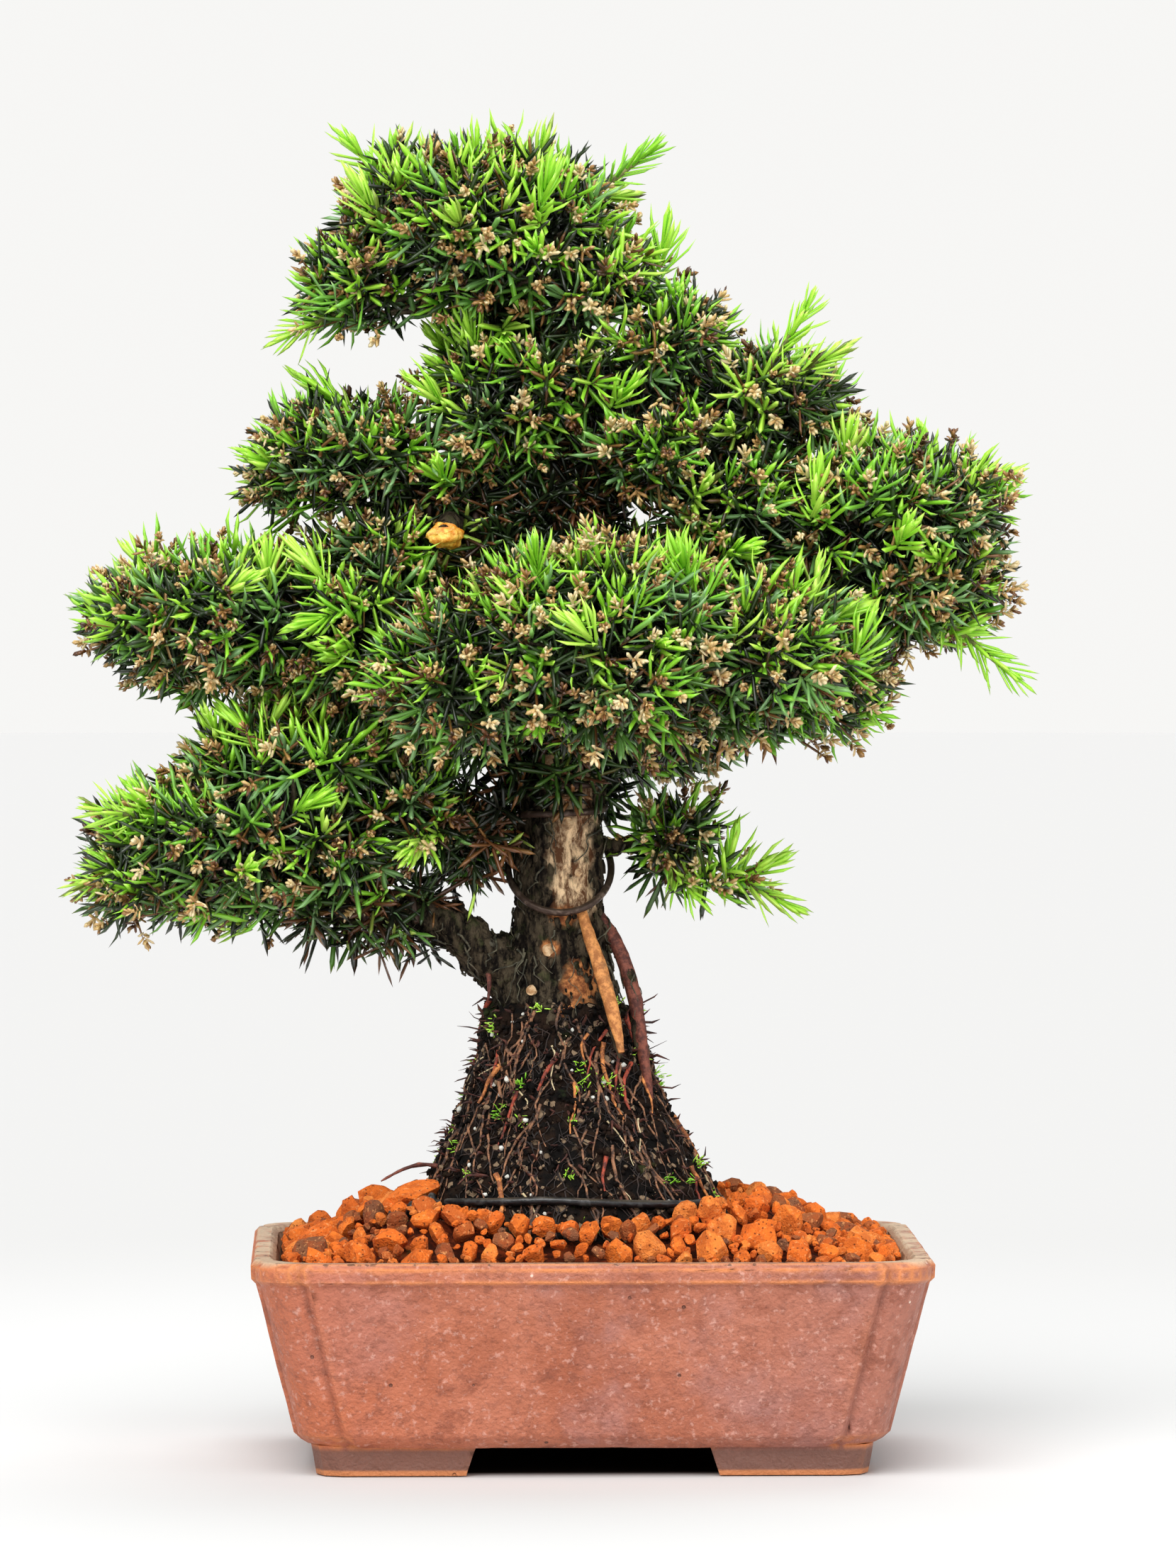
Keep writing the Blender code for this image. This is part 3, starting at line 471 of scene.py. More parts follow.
def bark_material(look):
    """Dark mossy bark that goes tan where it has rubbed bare, with orange patches and pale lichen."""
    material, tree, shader = new_material("trunk_bark")
    drawn_out = {"Vector": object_place(tree), "Scale": (1.0, 1.0, 0.35)}
    lengthwise = put(tree, "ShaderNodeMapping", drawn_out).outputs[0]
    noise_look = {"Vector": lengthwise, "Scale": 620.0, "Detail": 6.0, "Roughness": 0.7}
    fibres = put(tree, "ShaderNodeTexNoise", noise_look).outputs["Fac"]
    streak = spread(tree, fibres, 0.41, 0.62)
    dark = laid(tree, (0.006, 0.004, 0.003), look.bark_colour, streak)
    dark = laid(tree, dark, (0.062, 0.068, 0.026), patches(tree, 300.0, 0.54, 0.68), 0.6)
    dark = laid(tree, dark, (0.23, 0.21, 0.155), patches(tree, 520.0, 0.63, 0.72), 0.6)
    bare = laid(tree, (0.13, 0.055, 0.025), look.bare_colour, streak)
    bare = laid(tree, bare, (0.60, 0.43, 0.27), patches(tree, 900.0, 0.55, 0.7), 0.6)
    tint = laid(tree, dark, bare, stored(tree, "bare"), patches(tree, 330.0, 0.30, 0.46))
    orange = laid(tree, (0.20, 0.065, 0.026), (0.70, 0.28, 0.095), patches(tree, 800.0, 0.4, 0.65))
    tint = laid(tree, tint, orange, stored(tree, "scar"))
    feed(tree, shader, Base_Color=tint, Roughness=0.88, Specular_IOR_Level=0.12)
    feed(tree, shader, Normal=bump(tree, fibres, 0.9 * MM))
    return material


def strand_material(name, dark, light, roughness=0.7):
    """A root, twig or cut stub: two browns in fine streaks."""
    material, tree, shader = new_material(name)
    tint = laid(tree, dark, light, patches(tree, 700.0, 0.4, 0.62, 0.75))
    tint = laid(tree, tint, (0.06, 0.03, 0.018), patches(tree, 240.0, 0.56, 0.7), 0.6)
    feed(tree, shader, Base_Color=tint, Roughness=roughness)
    feed(tree, shader, Normal=bump(tree, grain(tree, 1500.0, 4000.0, 0.4), 0.15 * MM))
    return material


def wire_material(name, tone, scuffed, metal, roughness):
    """Training wire: a matt finish scuffed in small patches, with a little dust."""
    material, tree, shader = new_material(name)
    tint = laid(tree, tone, scuffed, patches(tree, 500.0, 0.5, 0.66))
    dust = {"Color": tint, "Dust": colour(0.16, 0.12, 0.08), "Amount": 0.4}
    tint = group_in(tree, "dust", dust).outputs["Color"]
    rough = spread(tree, patches(tree, 900.0, 0.4, 0.7), 0.0, 1.0, roughness, roughness + 0.2)
    feed(tree, shader, Base_Color=tint, Roughness=rough, Metallic=metal)
    feed(tree, shader, Normal=bump(tree, grain(tree, 1200.0, 5000.0, 0.4), 0.06 * MM))
    return material


def needle_material(look):
    """Needles and bud scales. Across the map lies their tone, from the darkest, painted shade for needles deep
    in the crown, to new growth and dry scales, and up it their length."""
    material, tree, shader = new_material("needle_leaf")
    on_map = put(tree, "ShaderNodeUVMap", uv_map="OFBake").outputs["UV"]
    at = put(tree, "ShaderNodeSeparateXYZ", {0: on_map}).outputs
    ramp = put(tree, "ShaderNodeValToRGB", {"Fac": at["X"]})
    stops = [
        # The darkest stops are painted shade, for the needles inside the pads and on the inner boughs.
        (0.0, (0.006, 0.008, 0.004)),
        (0.10, (0.014, 0.024, 0.008)),
        (0.20, (0.036, 0.080, 0.016)),
        (0.30, (0.120, 0.310, 0.035)),
        (0.37, (0.260, 0.480, 0.200)),
        (0.44, (0.230, 0.620, 0.035)),
        (0.52, look.leaf_colour),
        (0.60, (0.50, 0.96, 0.070)),
        (0.70, look.new_leaf_colour),
        (0.73, (0.045, 0.020, 0.010)),
        (0.80, (0.19, 0.070, 0.022)),
        (0.86, (0.44, 0.23, 0.070)),
        (0.93, (0.80, 0.55, 0.22)),
        (1.0, (0.94, 0.79, 0.48)),
    ]
    fill_ramp(ramp.color_ramp, stops)
    plain = ramp.outputs["Color"]
    ended = laid(tree, plain, (0.56, 0.58, 0.16), spread(tree, at["Y"], 0.80, 1.0), 0.5)
    ended = laid(tree, ended, (0.48, 0.78, 0.17), spread(tree, at["Y"], 0.22, 0.0), 0.45)
    green = spread(tree, at["X"], 0.715, 0.725, 1.0, 0.0)
    tint = laid(tree, plain, ended, green, spread(tree, at["X"], 0.14, 0.24))
    feed(tree, shader, Base_Color=tint, Roughness=0.32, Specular_IOR_Level=0.7, Subsurface_Weight=0.0)
    return material


def needle_leaf(look):
    """The needles' material, made when it is first asked for."""
    return bpy.data.materials.get("needle_leaf") or needle_material(look)


# --- pieces: pot and what lies in it ---


def edge_points(mesh, convex):
    """Points along the sharp edges of a mesh that stand proud, or that lie in a hollow."""
    faces = {}
    for polygon in mesh.polygons:
        for key in polygon.edge_keys:
            faces.setdefault(key, []).append(polygon)
    found = []
    for (start, end), pair in faces.items():
        if len(pair) != 2 or pair[0].normal.dot(pair[1].normal) > SHARP_COSINE:
            continue
        across = (pair[1].center - pair[0].center).dot(pair[0].normal)
        if (across < 0) != convex:
            continue
        first, last = mesh.vertices[start].co, mesh.vertices[end].co
        count = max(2, int((last - first).length / EDGE_MARK_STEP))
        found += [first.lerp(last, i / count) for i in range(count + 1)]
    return np.array(found)


def nearness(points, targets, near, far):
    """1 at the targets and 0 from far on."""
    tree = KDTree(len(targets))
    for i, target in enumerate(targets):
        tree.insert(target, i)
    tree.balance()
    distance = np.array([tree.find(p)[2] for p in points])
    return np.clip((far - distance) / (far - near), 0.0, 1.0)


def cut_finer(piece, longest):
    """Splits a piece's edges until none is longer than this, or six times over."""
    take_up(piece)
    for _ in range(6):
        ends = points_of(piece.data)
        pairs = np.array([edge.vertices[:] for edge in piece.data.edges])
        too_long = np.linalg.norm(ends[pairs[:, 0]] - ends[pairs[:, 1]], axis=1) > longest
        if not too_long.any():
            break
        with editing("DESELECT"):
            bpy.ops.mesh.select_mode(type="EDGE")
        piece.data.edges.foreach_set("select", too_long)
        with editing(None):
            bpy.ops.mesh.subdivide(number_cuts=1)
            bpy.ops.mesh.select_all(action="SELECT")
            bpy.ops.mesh.quads_convert_to_tris()


def make_pot(look):
    """The pot, with its edges rounded as clay is, marked where they rub and catch the light, and its creases
    marked for painted shade.
    """
    pot = merged_copy("pot", "clay_pot")
    with editing():
        bpy.ops.mesh.dissolve_limited(angle_limit=math.radians(1.0))
    proud = edge_points(pot.data, True)
    hollow = edge_points(pot.data, False)
    worked(
        pot,
        "BEVEL",
        width=look.edge_radius,
        segments=3,
        limit_method="ANGLE",
        angle_limit=math.radians(32),
        use_clamp_overlap=True,
        harden_normals=False,
    )
    worked(pot, "TRIANGULATE")
    cut_finer(pot, LONGEST_POT_EDGE)
    points = points_of(pot.data)
    normals = normals_of(pot.data)
    waver = lumps(points, 9.0 * MM, 2) * 0.10 * MM + lumps(points, 2.2 * MM, 3, 4.0) * 0.045 * MM
    standing = points[:, 2] > 1.0 * MM
    moved = points + normals * (waver * standing)[:, None]
    put_points(pot.data, np.clip(moved, np.array(POT_LOW), np.array(POT_HIGH)))
    # Proud edges, for the rubbed wear and the painted highlight on them.
    mark(pot.data, "edge", nearness(points, proud, 0.16 * MM, 0.55 * MM))
    # Hollow edges, for the painted shade in the creases.
    mark(pot.data, "crease_shade", nearness(points, hollow, 0.2 * MM, 0.9 * MM))
    mark(pot.data, "rim", (points[:, 2] > POT_HIGH.z - 0.35 * MM) & (normals[:, 2] > 0.6))
    towards = (points[:, :2] - np.array(POT_CENTRE)[:2]) * normals[:, :2]
    mark(pot.data, "inside", (towards.sum(axis=1) < 0) & (points[:, 2] > 9.0 * MM))
    handed_over(pot, clay_material(look), ["pot"], smooth_angle=38)


def make_stone(seed, fineness=2):
    """One angular stone, about 1 across, chipped flat on a few sides: its points and its faces."""
    rng = np.random.default_rng(seed)
    put_down_all()
    bpy.ops.mesh.primitive_ico_sphere_add(subdivisions=fineness, radius=0.5)
    stone = bpy.context.object
    points = points_of(stone.data)
    swell = 1.0 + 0.30 * lumps(points, 0.55, 2, seed * 3.1)
    put_points(stone.data, points * swell[:, None])
    with editing():
        for _ in range(STONE_CHIPS):
            way = rng.normal(size=3)
            way /= np.linalg.norm(way)
            chip = {"plane_co": way * rng.uniform(0.26, 0.40), "plane_no": way}
            bpy.ops.mesh.select_all(action="SELECT")
            bpy.ops.mesh.bisect(**chip, use_fill=True, clear_outer=True)
        bpy.ops.mesh.select_all(action="SELECT")
        bpy.ops.mesh.quads_convert_to_tris()
    points = points_of(stone.data)
    faces = np.array([p.vertices[:] for p in stone.data.polygons])
    points -= (points.min(0) + points.max(0)) / 2
    points /= (points.max(0) - points.min(0)).max()
    bpy.data.objects.remove(stone)
    return points, faces


def many(name, shapes, picks, matrices, places, shades=None):
    """One mesh of many copies: each pick is a shape, turned and sized by its matrix and set at its place."""
    all_points, all_faces, all_shades, count = [], [], [], 0
    for i, pick in enumerate(picks):
        points, faces = shapes[pick]
        all_points.append(points @ matrices[i].T + places[i])
        all_faces.append(faces + count)
        count += len(points)
        if shades is not None:
            all_shades.append(np.full(len(faces), shades[i]))
    mesh = mesh_from(name, np.vstack(all_points), np.vstack(all_faces))
    if shades is not None:
        mark(mesh, "shade", np.concatenate(all_shades), "FACE")
    return mesh


def mesh_from(name, points, faces, uv=None):
    """A mesh from arrays of points and triangles."""
    mesh = bpy.data.meshes.new(name)
    mesh.vertices.add(len(points))
    mesh.vertices.foreach_set("co", points.ravel())
    mesh.loops.add(faces.size)
    mesh.loops.foreach_set("vertex_index", faces.ravel().astype(np.int32))
    mesh.polygons.add(len(faces))
    mesh.polygons.foreach_set("loop_start", np.arange(0, faces.size, 3, dtype=np.int32))
    mesh.polygons.foreach_set("use_smooth", np.ones(len(faces), bool))
    if uv is not None:
        layer = mesh.uv_layers.new(name="OFBake")
        layer.uv.foreach_set("vector", uv.ravel())
    mesh.update(calc_edges=True)
    mesh.validate()
    return mesh


def turned(rng, sizes):
    """A random turn with these sizes along the stone's own axes."""
    quaternion = rng.normal(size=4)
    quaternion /= np.linalg.norm(quaternion)
    w, x, y, z = quaternion
    turn = np.array(
        [
            [1 - 2 * (y * y + z * z), 2 * (x * y - z * w), 2 * (x * z + y * w)],
            [2 * (x * y + z * w), 1 - 2 * (x * x + z * z), 2 * (y * z - x * w)],
            [2 * (x * z - y * w), 2 * (y * z + x * w), 1 - 2 * (x * x + y * y)],
        ]
    )
    return turn * sizes[None, :]


def heaped(x, y):
    """How much higher the gravel lies against the foot of the cone."""
    from_trunk = np.hypot(x - MOUND_FOOT.x, (y - MOUND_FOOT.y) * MOUND_ACROSS)
    return np.exp(-(((from_trunk - MOUND_REACH) / (6.0 * MM)) ** 2)) * 3.4 * MM


def seat_on(top, x, y, reach):
    """The height of a surface under a spot, or None where a stone of this reach would stick out past it."""
    above = GRAVEL_HIGH.z + 20.0 * MM
    hits = [
        top.ray_cast(Vector((x + dx * reach, y + dy * reach, above)), DOWN)[0]
        for dx, dy in ((0, 0), (1, 0), (-1, 0), (0, 1), (0, -1))
    ]
    return None if any(hit is None for hit in hits) else hits[0].z


def make_gravel(look):
    """The grit bed, coloured deep red-black as painted shade for the gaps between the stones, and the lava
    stones scattered on it.
    """
    top = surface_of(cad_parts["gravel"])
    bed = merged_copy("gravel", "grit_bed")
    points = points_of(bed.data)
    upper = points[:, 2] > GRAVEL_LOW.z + 3.0 * MM
    points[upper, 2] += heaped(points[upper, 0], points[upper, 1]) - 1.5 * MM
    put_points(bed.data, points)
    # Painted shade: the bed shows only in the gaps between stones, so it has the deep red-black of the shade
    # there.
    grit_with_gap_shade = soil_material("grit_with_gap_shade", (0.040, 0.008, 0.003), (0.17, 0.028, 0.007), (0.42, 0.090, 0.018), 0.95)
    handed_over(bed, grit_with_gap_shade, ["gravel"], smooth_angle=60)

    rng = np.random.default_rng(GRAVEL_SEED)
    shapes = [make_stone(seed) for seed in range(10)]
    picks, matrices, places, shades, kept = [], [], [], [], []
    # Each layer: how many stones are aimed at, their middle size, how close they may lie, how high they sit.
    layers = [
        (look.stone_count, look.stone_size, 0.44, 0.06),
        (look.stone_count * 2, look.stone_size * 0.62, 0.44, 0.22),
        (look.stone_count * 3, look.stone_size * 0.40, 0.40, 0.30),
    ]
    for count, size, closeness, lift in layers:
        for _ in range(count * TRIES_PER_STONE):
            x = rng.uniform(GRAVEL_LOW.x, GRAVEL_HIGH.x)
            y = rng.uniform(GRAVEL_LOW.y, GRAVEL_HIGH.y)
            across = size * rng.uniform(0.62, 1.35)
            height = seat_on(top, x, y, across * 0.40)
            if height is None:
                continue
            spot = np.array([x, y, height + across * lift + heaped(x, y)])
            if any(np.linalg.norm(spot - other) < (across + wide) * closeness for other, wide in kept):
                continue
            kept.append((spot, across))
            sizes = across * np.array([1.0, rng.uniform(0.66, 0.95), rng.uniform(0.55, 0.85)])
            picks.append(rng.integers(len(shapes)))
            matrices.append(turned(rng, sizes))
            places.append(spot)
            shades.append(rng.beta(2.6, 1.9) if rng.random() > 0.12 else rng.uniform(0.0, 0.12))
    # Two bigger stones lean on the cone: place, sizes, shade and tilt.
    leaning = [
        ((MOUND_LOW.x + 7.5 * MM, POT_CENTRE.y - 9.0 * MM, 43.0 * MM), (11.0, 7.0, 6.0), 0.62, 0.5),
        ((POT_CENTRE.x + 19.0 * MM, POT_CENTRE.y - 26.0 * MM, 42.2 * MM), (4.4, 3.6, 5.0), 0.85, -0.3),
    ]
    for i, (place, sizes, shade, tilt) in enumerate(leaning):
        turn = np.array(Matrix.Rotation(-tilt, 3, "Y"))
        shapes.append(make_stone(40 + i, 4))
        picks.append(len(shapes) - 1)
        matrices.append(turn * (np.array(sizes) * MM)[None, :])
        places.append(np.array(place))
        shades.append(shade)
    stones = new_piece("lava_stones", many("lava_stones", shapes, picks, matrices, places, shades))
    handed_over(stones, stone_material(look), smooth_angle=24)


def strands(name, routes, sides=1):
    """Round strands along routes of (x, y, z, radius) points, as one mesh with closed ends."""
    curve = bpy.data.curves.new(name, "CURVE")
    curve.dimensions = "3D"
    curve.bevel_depth = 1.0
    curve.bevel_resolution = sides
    curve.use_fill_caps = True
    for route in routes:
        line = curve.splines.new("POLY")
        line.points.add(len(route) - 1)
        for point, (x, y, z, radius) in zip(line.points, route):
            point.co = (x, y, z, 1.0)
            point.radius = radius
    take_up(new_piece(name, curve))
    bpy.ops.object.convert(target="MESH")
    piece = bpy.context.object
    with editing():
        bpy.ops.mesh.quads_convert_to_tris()
    return piece


def routed(start, steps):
    """A strand's route from (x, y, z, radius) steps in millimetres, counted from a start."""
    return [(start.x + x * MM, start.y + y * MM, start.z + z * MM, radius * MM) for x, y, z, radius in steps]


def creeping_route(rng, skin, start, steps, step, radius, wander, lift, taper=0.35):
    """A root's route that creeps down the cone, half sunk in it."""
    place = Vector(start)
    around = Vector((TRUNK_FOOT.y - place.y, place.x - TRUNK_FOOT.x, 0)).normalized()
    heading = (DOWN + around * rng.normal() * 0.9).normalized()
    route = []
    for i in range(steps):
        near, normal, _, _ = skin.find_nearest(place)
        if near is None:
            break
        thick = radius * (1 - (1 - taper) * i / steps)
        on_skin = near + normal * lift
        route.append((*on_skin, thick))
        outward = Vector((near.x - TRUNK_FOOT.x, near.y - TRUNK_FOOT.y, 0)).normalized()
        down = DOWN + outward * 0.35
        sideways = normal.cross(down).normalized()
        heading = (heading * 0.9 + down * 0.22 + sideways * rng.normal() * wander).normalized()
        place = on_skin + heading * step
        if place.z < MOUND_LOW.z + 9.0 * MM:
            break
    return route


def cone_spots(rng, skin, count, low=36.0 * MM):
    """Random places on the outside of the cone, with the outward direction there."""
    found = []
    while len(found) < count:
        angle = rng.uniform(0, 2 * math.pi)
        height = low + (MOUND_HIGH.z + 8.0 * MM - low) * rng.random() ** 0.95
        far = Vector((math.cos(angle), math.sin(angle), 0)) * 0.08
        origin = Vector((TRUNK_FOOT.x, TRUNK_FOOT.y, height)) + far
        spot, normal, _, _ = skin.ray_cast(origin, -far.normalized())
        if spot is not None and normal.dot(far) > 0:
            found.append((spot, normal))
    return found


def scattered(name, rng, skin, shapes, count, widths, power, flatness, lift):
    """A piece of many small grains that lie on the cone."""
    spots = cone_spots(rng, skin, count)
    wide = rng.uniform(*widths, len(spots)) ** power * MM
    picks = rng.integers(len(shapes), size=len(spots))
    matrices = [turned(rng, w * np.array(flatness)) for w in wide]
    places = [np.array(spot + normal * (w * lift)) for (spot, normal), w in zip(spots, wide)]
    return new_piece(name, many(name, shapes, picks, matrices, places))


def make_mound(look):
    """The cone of old soil, crumbled all over."""
    mound = merged_copy("root_mound", "soil_cone")
    worked(mound, "REMESH", mode="VOXEL", voxel_size=VOXEL)
    points = points_of(mound.data)
    normals = normals_of(mound.data)
    crumbs = lumps(points, 3.4 * MM, 3) * 0.55 * MM + lumps(points, 1.1 * MM, 2, 7.0) * 0.28 * MM
    away = np.linalg.norm(points[:, :2] - np.array(TRUNK_FOOT)[:2], axis=1)
    beside_trunk = np.clip((13.5 * MM - away) / (6.5 * MM), 0, 1)
    hug = beside_trunk * np.clip((points[:, 2] - MOUND_HIGH.z + 3.0 * MM) / (3.0 * MM), 0, 1)
    points[:, 2] += hug**1.15 * (2.2 * MM + lumps(points, 5.0 * MM, 2, 3.0) * 2.4 * MM)
    put_points(mound.data, points + normals * (crumbs - 0.1 * MM)[:, None])
    damp = soil_material("cone_soil", (0.0020, 0.0012, 0.0008), (0.017, 0.008, 0.004), (0.42, 0.29, 0.18), 0.8)
    handed_over(mound, damp, ["root_mound"])
    skin = surface_of(mound)

    rng = np.random.default_rng(MOUND_SEED)
    shapes = [make_stone(seed, 1) for seed in range(30, 35)]
    grains = scattered("soil_crumbs", rng, skin, shapes, CRUMBS, (0.45, 1.35), 1.5, (1.0, 0.8, 0.7), 0.2)
    handed_over(grains, damp)
    grains = scattered("pale_grains", rng, skin, shapes, PALE_GRAINS, (0.5, 1.3), 1, (1.0, 0.9, 0.8), 0.25)
    pale = strand_material("perlite", (0.62, 0.62, 0.55), (0.80, 0.80, 0.74), 0.8)
    handed_over(grains, pale)
    make_fine_roots(rng, skin)
    make_surface_roots()
    make_moss(rng, skin, needle_leaf(look))


def make_fine_roots(rng, skin):
    """Roots that creep down the cone, from black fibres to pale tips, and bristly broken ends."""
    # Each kind: its number, its steps, its radius in millimetres, its two colours and how much it wanders.
    kinds = [
        ("black_fibres", 420, (6, 18), 0.12, (0.008, 0.005, 0.004), (0.030, 0.015, 0.010), 1.0),
        ("brown_roots", 130, (8, 26), 0.26, (0.030, 0.014, 0.009), (0.36, 0.165, 0.080), 0.30),
        ("red_roots", 20, (5, 11), 0.42, (0.09, 0.016, 0.010), (0.46, 0.070, 0.030), 0.16),
        ("orange_roots", 20, (5, 14), 0.40, (0.22, 0.065, 0.020), (0.80, 0.30, 0.080), 0.18),
        ("pale_root_tips", 26, (4, 10), 0.17, (0.55, 0.44, 0.25), (0.82, 0.66, 0.40), 0.35),
    ]
    for name, count, steps, radius, dark, light, wander in kinds:
        routes = []
        for spot, _ in cone_spots(rng, skin, count, 42.0 * MM):
            length = int(rng.integers(*steps))
            thick = radius * rng.uniform(0.6, 1.35) * MM
            lift = thick * 0.6 + 0.1 * MM
            route = creeping_route(rng, skin, spot, length, ROOT_STEP, thick, wander, lift)
            if len(route) > 3:
                routes.append(route)
        handed_over(strands(name, routes, 1), strand_material(name, dark, light))

    routes = []
    for spot, normal in cone_spots(rng, skin, BRISTLES, 37.0 * MM):
        away = Vector((normal.x, normal.y, 0)).normalized()
        lean = away + UP * rng.uniform(-0.5, 0.35) + Vector(rng.normal(size=3)) * 0.35
        lean.normalize()
        reach = rng.uniform(0.9, 3.0) * MM * (1.8 if rng.random() < 0.14 else 1.0)
        thick = rng.uniform(0.10, 0.34) * MM
        bend = Vector(rng.normal(size=3)) * reach * 0.12
        base, middle, tip = spot - normal * 0.3 * MM, spot + lean * reach * 0.55 + bend, spot + lean * reach
        routes.append([(*base, thick), (*middle, thick * 0.75), (*tip, thick * 0.15)])
    dull = strand_material("root_bristles", (0.030, 0.010, 0.008), (0.12, 0.035, 0.022))
    handed_over(strands("root_bristles", routes, 1), dull)


def make_surface_roots():
    """The two thick roots that run down outside the cone, and two thin red ones."""
    inner = [
        (3.4, -6.2, 16.5, 0.9), (4.8, -8.2, 12.0, 1.1), (6.2, -9.8, 8.0, 1.25),
        (8.2, -12.2, 1.0, 1.2), (9.1, -13.2, -3.0, 0.95), (9.7, -13.8, -6.0, 0.5),
    ]
    outer = [
        (5.2, -1.0, 17.5, 1.0), (8.4, -2.4, 12.5, 1.2), (9.9, -3.2, 10.0, 1.25),
        (12.4, -5.2, 2.0, 1.2), (13.5, -6.4, -7.0, 1.0), (14.6, -7.4, -15.0, 0.7),
    ]
    straying = [(3.0, 0, 0.6, 0.42), (-2.0, -0.5, 2.4, 0.40), (-6.0, -1.0, 1.4, 0.30), (-9.5, -1.5, -0.6, 0.15)]
    hanging = [
        (-14.5, -3.0, 13.5, 0.45), (-12.6, -4.2, 9.0, 0.42), (-11.6, -4.6, 5.5, 0.40), (-11.8, -4.8, 2.2, 0.22),
    ]
    cone_left = Vector((MOUND_LOW.x + 12.0 * MM, POT_CENTRE.y - 3.0 * MM, 46.0 * MM))
    orange = [routed(TRUNK_FOOT, inner)]
    red = [routed(TRUNK_FOOT, outer), routed(cone_left, straying), routed(TRUNK_FOOT, hanging)]
    for name, routes, dark, light in (
        ("orange_surface_root", orange, (0.40, 0.14, 0.035), (0.80, 0.34, 0.10)),
        ("red_surface_root", red, (0.08, 0.020, 0.014), (0.26, 0.075, 0.045)),
    ):
        piece = strands(name, routes, 3)
        worked(piece, "SUBSURF", levels=2, render_levels=2)
        roughened(piece, 1.6 * MM, 0.16 * MM, 3)
        handed_over(piece, strand_material(name, dark, light))


def make_moss(rng, skin, material):
    """Small tufts of moss on the cone."""
    bases, ways, sides, lengths, widths, bends, tones = leaves = [[] for _ in range(7)]
    for spot, normal in cone_spots(rng, skin, MOSS_TUFTS, 37.0 * MM):
        size = rng.uniform(0.6, 1.5) * MM
        tone = rng.uniform(0.46, 0.66)
        for _ in range(MOSS_LEAVES):
            way = np.array(normal) + rng.normal(size=3) * 0.6
            bases.append(np.array(spot) + rng.normal(size=3) * size * 0.45)
            ways.append(way / np.linalg.norm(way))
            sides.append(rng.normal(size=3))
            lengths.append(size * rng.uniform(0.7, 1.3))
            widths.append(0.34 * MM)
            bends.append(rng.uniform(-0.2, 0.2))
            tones.append(tone + rng.uniform(-0.04, 0.04))
    mesh = needle_mesh("moss_tufts", make_needle(), *map(np.array, leaves))
    handed_over(new_piece("moss_tufts", mesh), material)


# --- pieces: wood and wires ---


def make_wood(look):
    """Roots, trunk and boughs with barky relief, a bare strip up the front and orange scars."""
    wood = merged_copy("roots_trunk_and_boughs", "trunk_and_boughs")
    worked(wood, "REMESH", mode="VOXEL", voxel_size=VOXEL)
    worked(wood, "SMOOTH", factor=0.5, iterations=8)
    points = points_of(wood.data)
    normals = normals_of(wood.data)
    drawn = points * np.array([1.0, 1.0, 0.38])
    relief = lumps(drawn, 1.9 * MM, 4, 2.0) * 0.60 * MM + lumps(points, 5.0 * MM, 3, 9.0) * 0.75 * MM
    x, y, z = (points - np.array(TRUNK_FOOT)).T / MM
    low_down = np.clip((17.0 - z) / 17.0, 0, 1) ** 1.6 * (z > -3)
    flare = low_down * np.clip((10.5 - np.hypot(x, y)) / 2.0, 0, 1)
    grown = points + normals * (relief + 0.15 * MM + flare * 2.6 * MM)[:, None]
    put_points(wood.data, grown)
    front = np.clip((-normals[:, 1] - 0.15) / 0.4, 0, 1)
    ragged = lumps(points, 3.0 * MM, 3, 5.0)
    strip = np.clip((3.7 - np.abs(x - 2.0 + ragged * 1.6)) / 1.2, 0, 1)
    strip *= np.clip((z - 14.5 + ragged * 2) / 2.5, 0, 1) * np.clip((42.0 - z) / 2.0, 0, 1)
    mark(wood.data, "bare", np.clip(strip * front, 0, 1))
    # Each scar: how far right of the trunk's foot and how high it lies, its half width and half height, in mm.
    scars = ((0.6, 16.0, 2.4, 1.6), (2.6, 5.0, 2.6, 3.4), (-1.6, 10.6, 1.3, 1.3), (2.4, 0.6, 2.2, 1.4))
    scarred = np.zeros(len(points))
    for right, height, wide, tall in scars:
        far = np.sqrt(((x - right) / wide) ** 2 + ((z - height) / tall) ** 2) + ragged * 0.25
        scarred = np.maximum(scarred, np.clip((1.1 - far) / 0.3, 0, 1) * front)
    mark(wood.data, "scar", scarred)
    bark = bark_material(look)
    handed_over(wood, bark, ["roots_trunk_and_boughs"])
    skin = surface_of(wood)
    make_bark_flakes(wood, skin, bark)
    make_stubs(skin)
    make_old_cut(skin, bark)


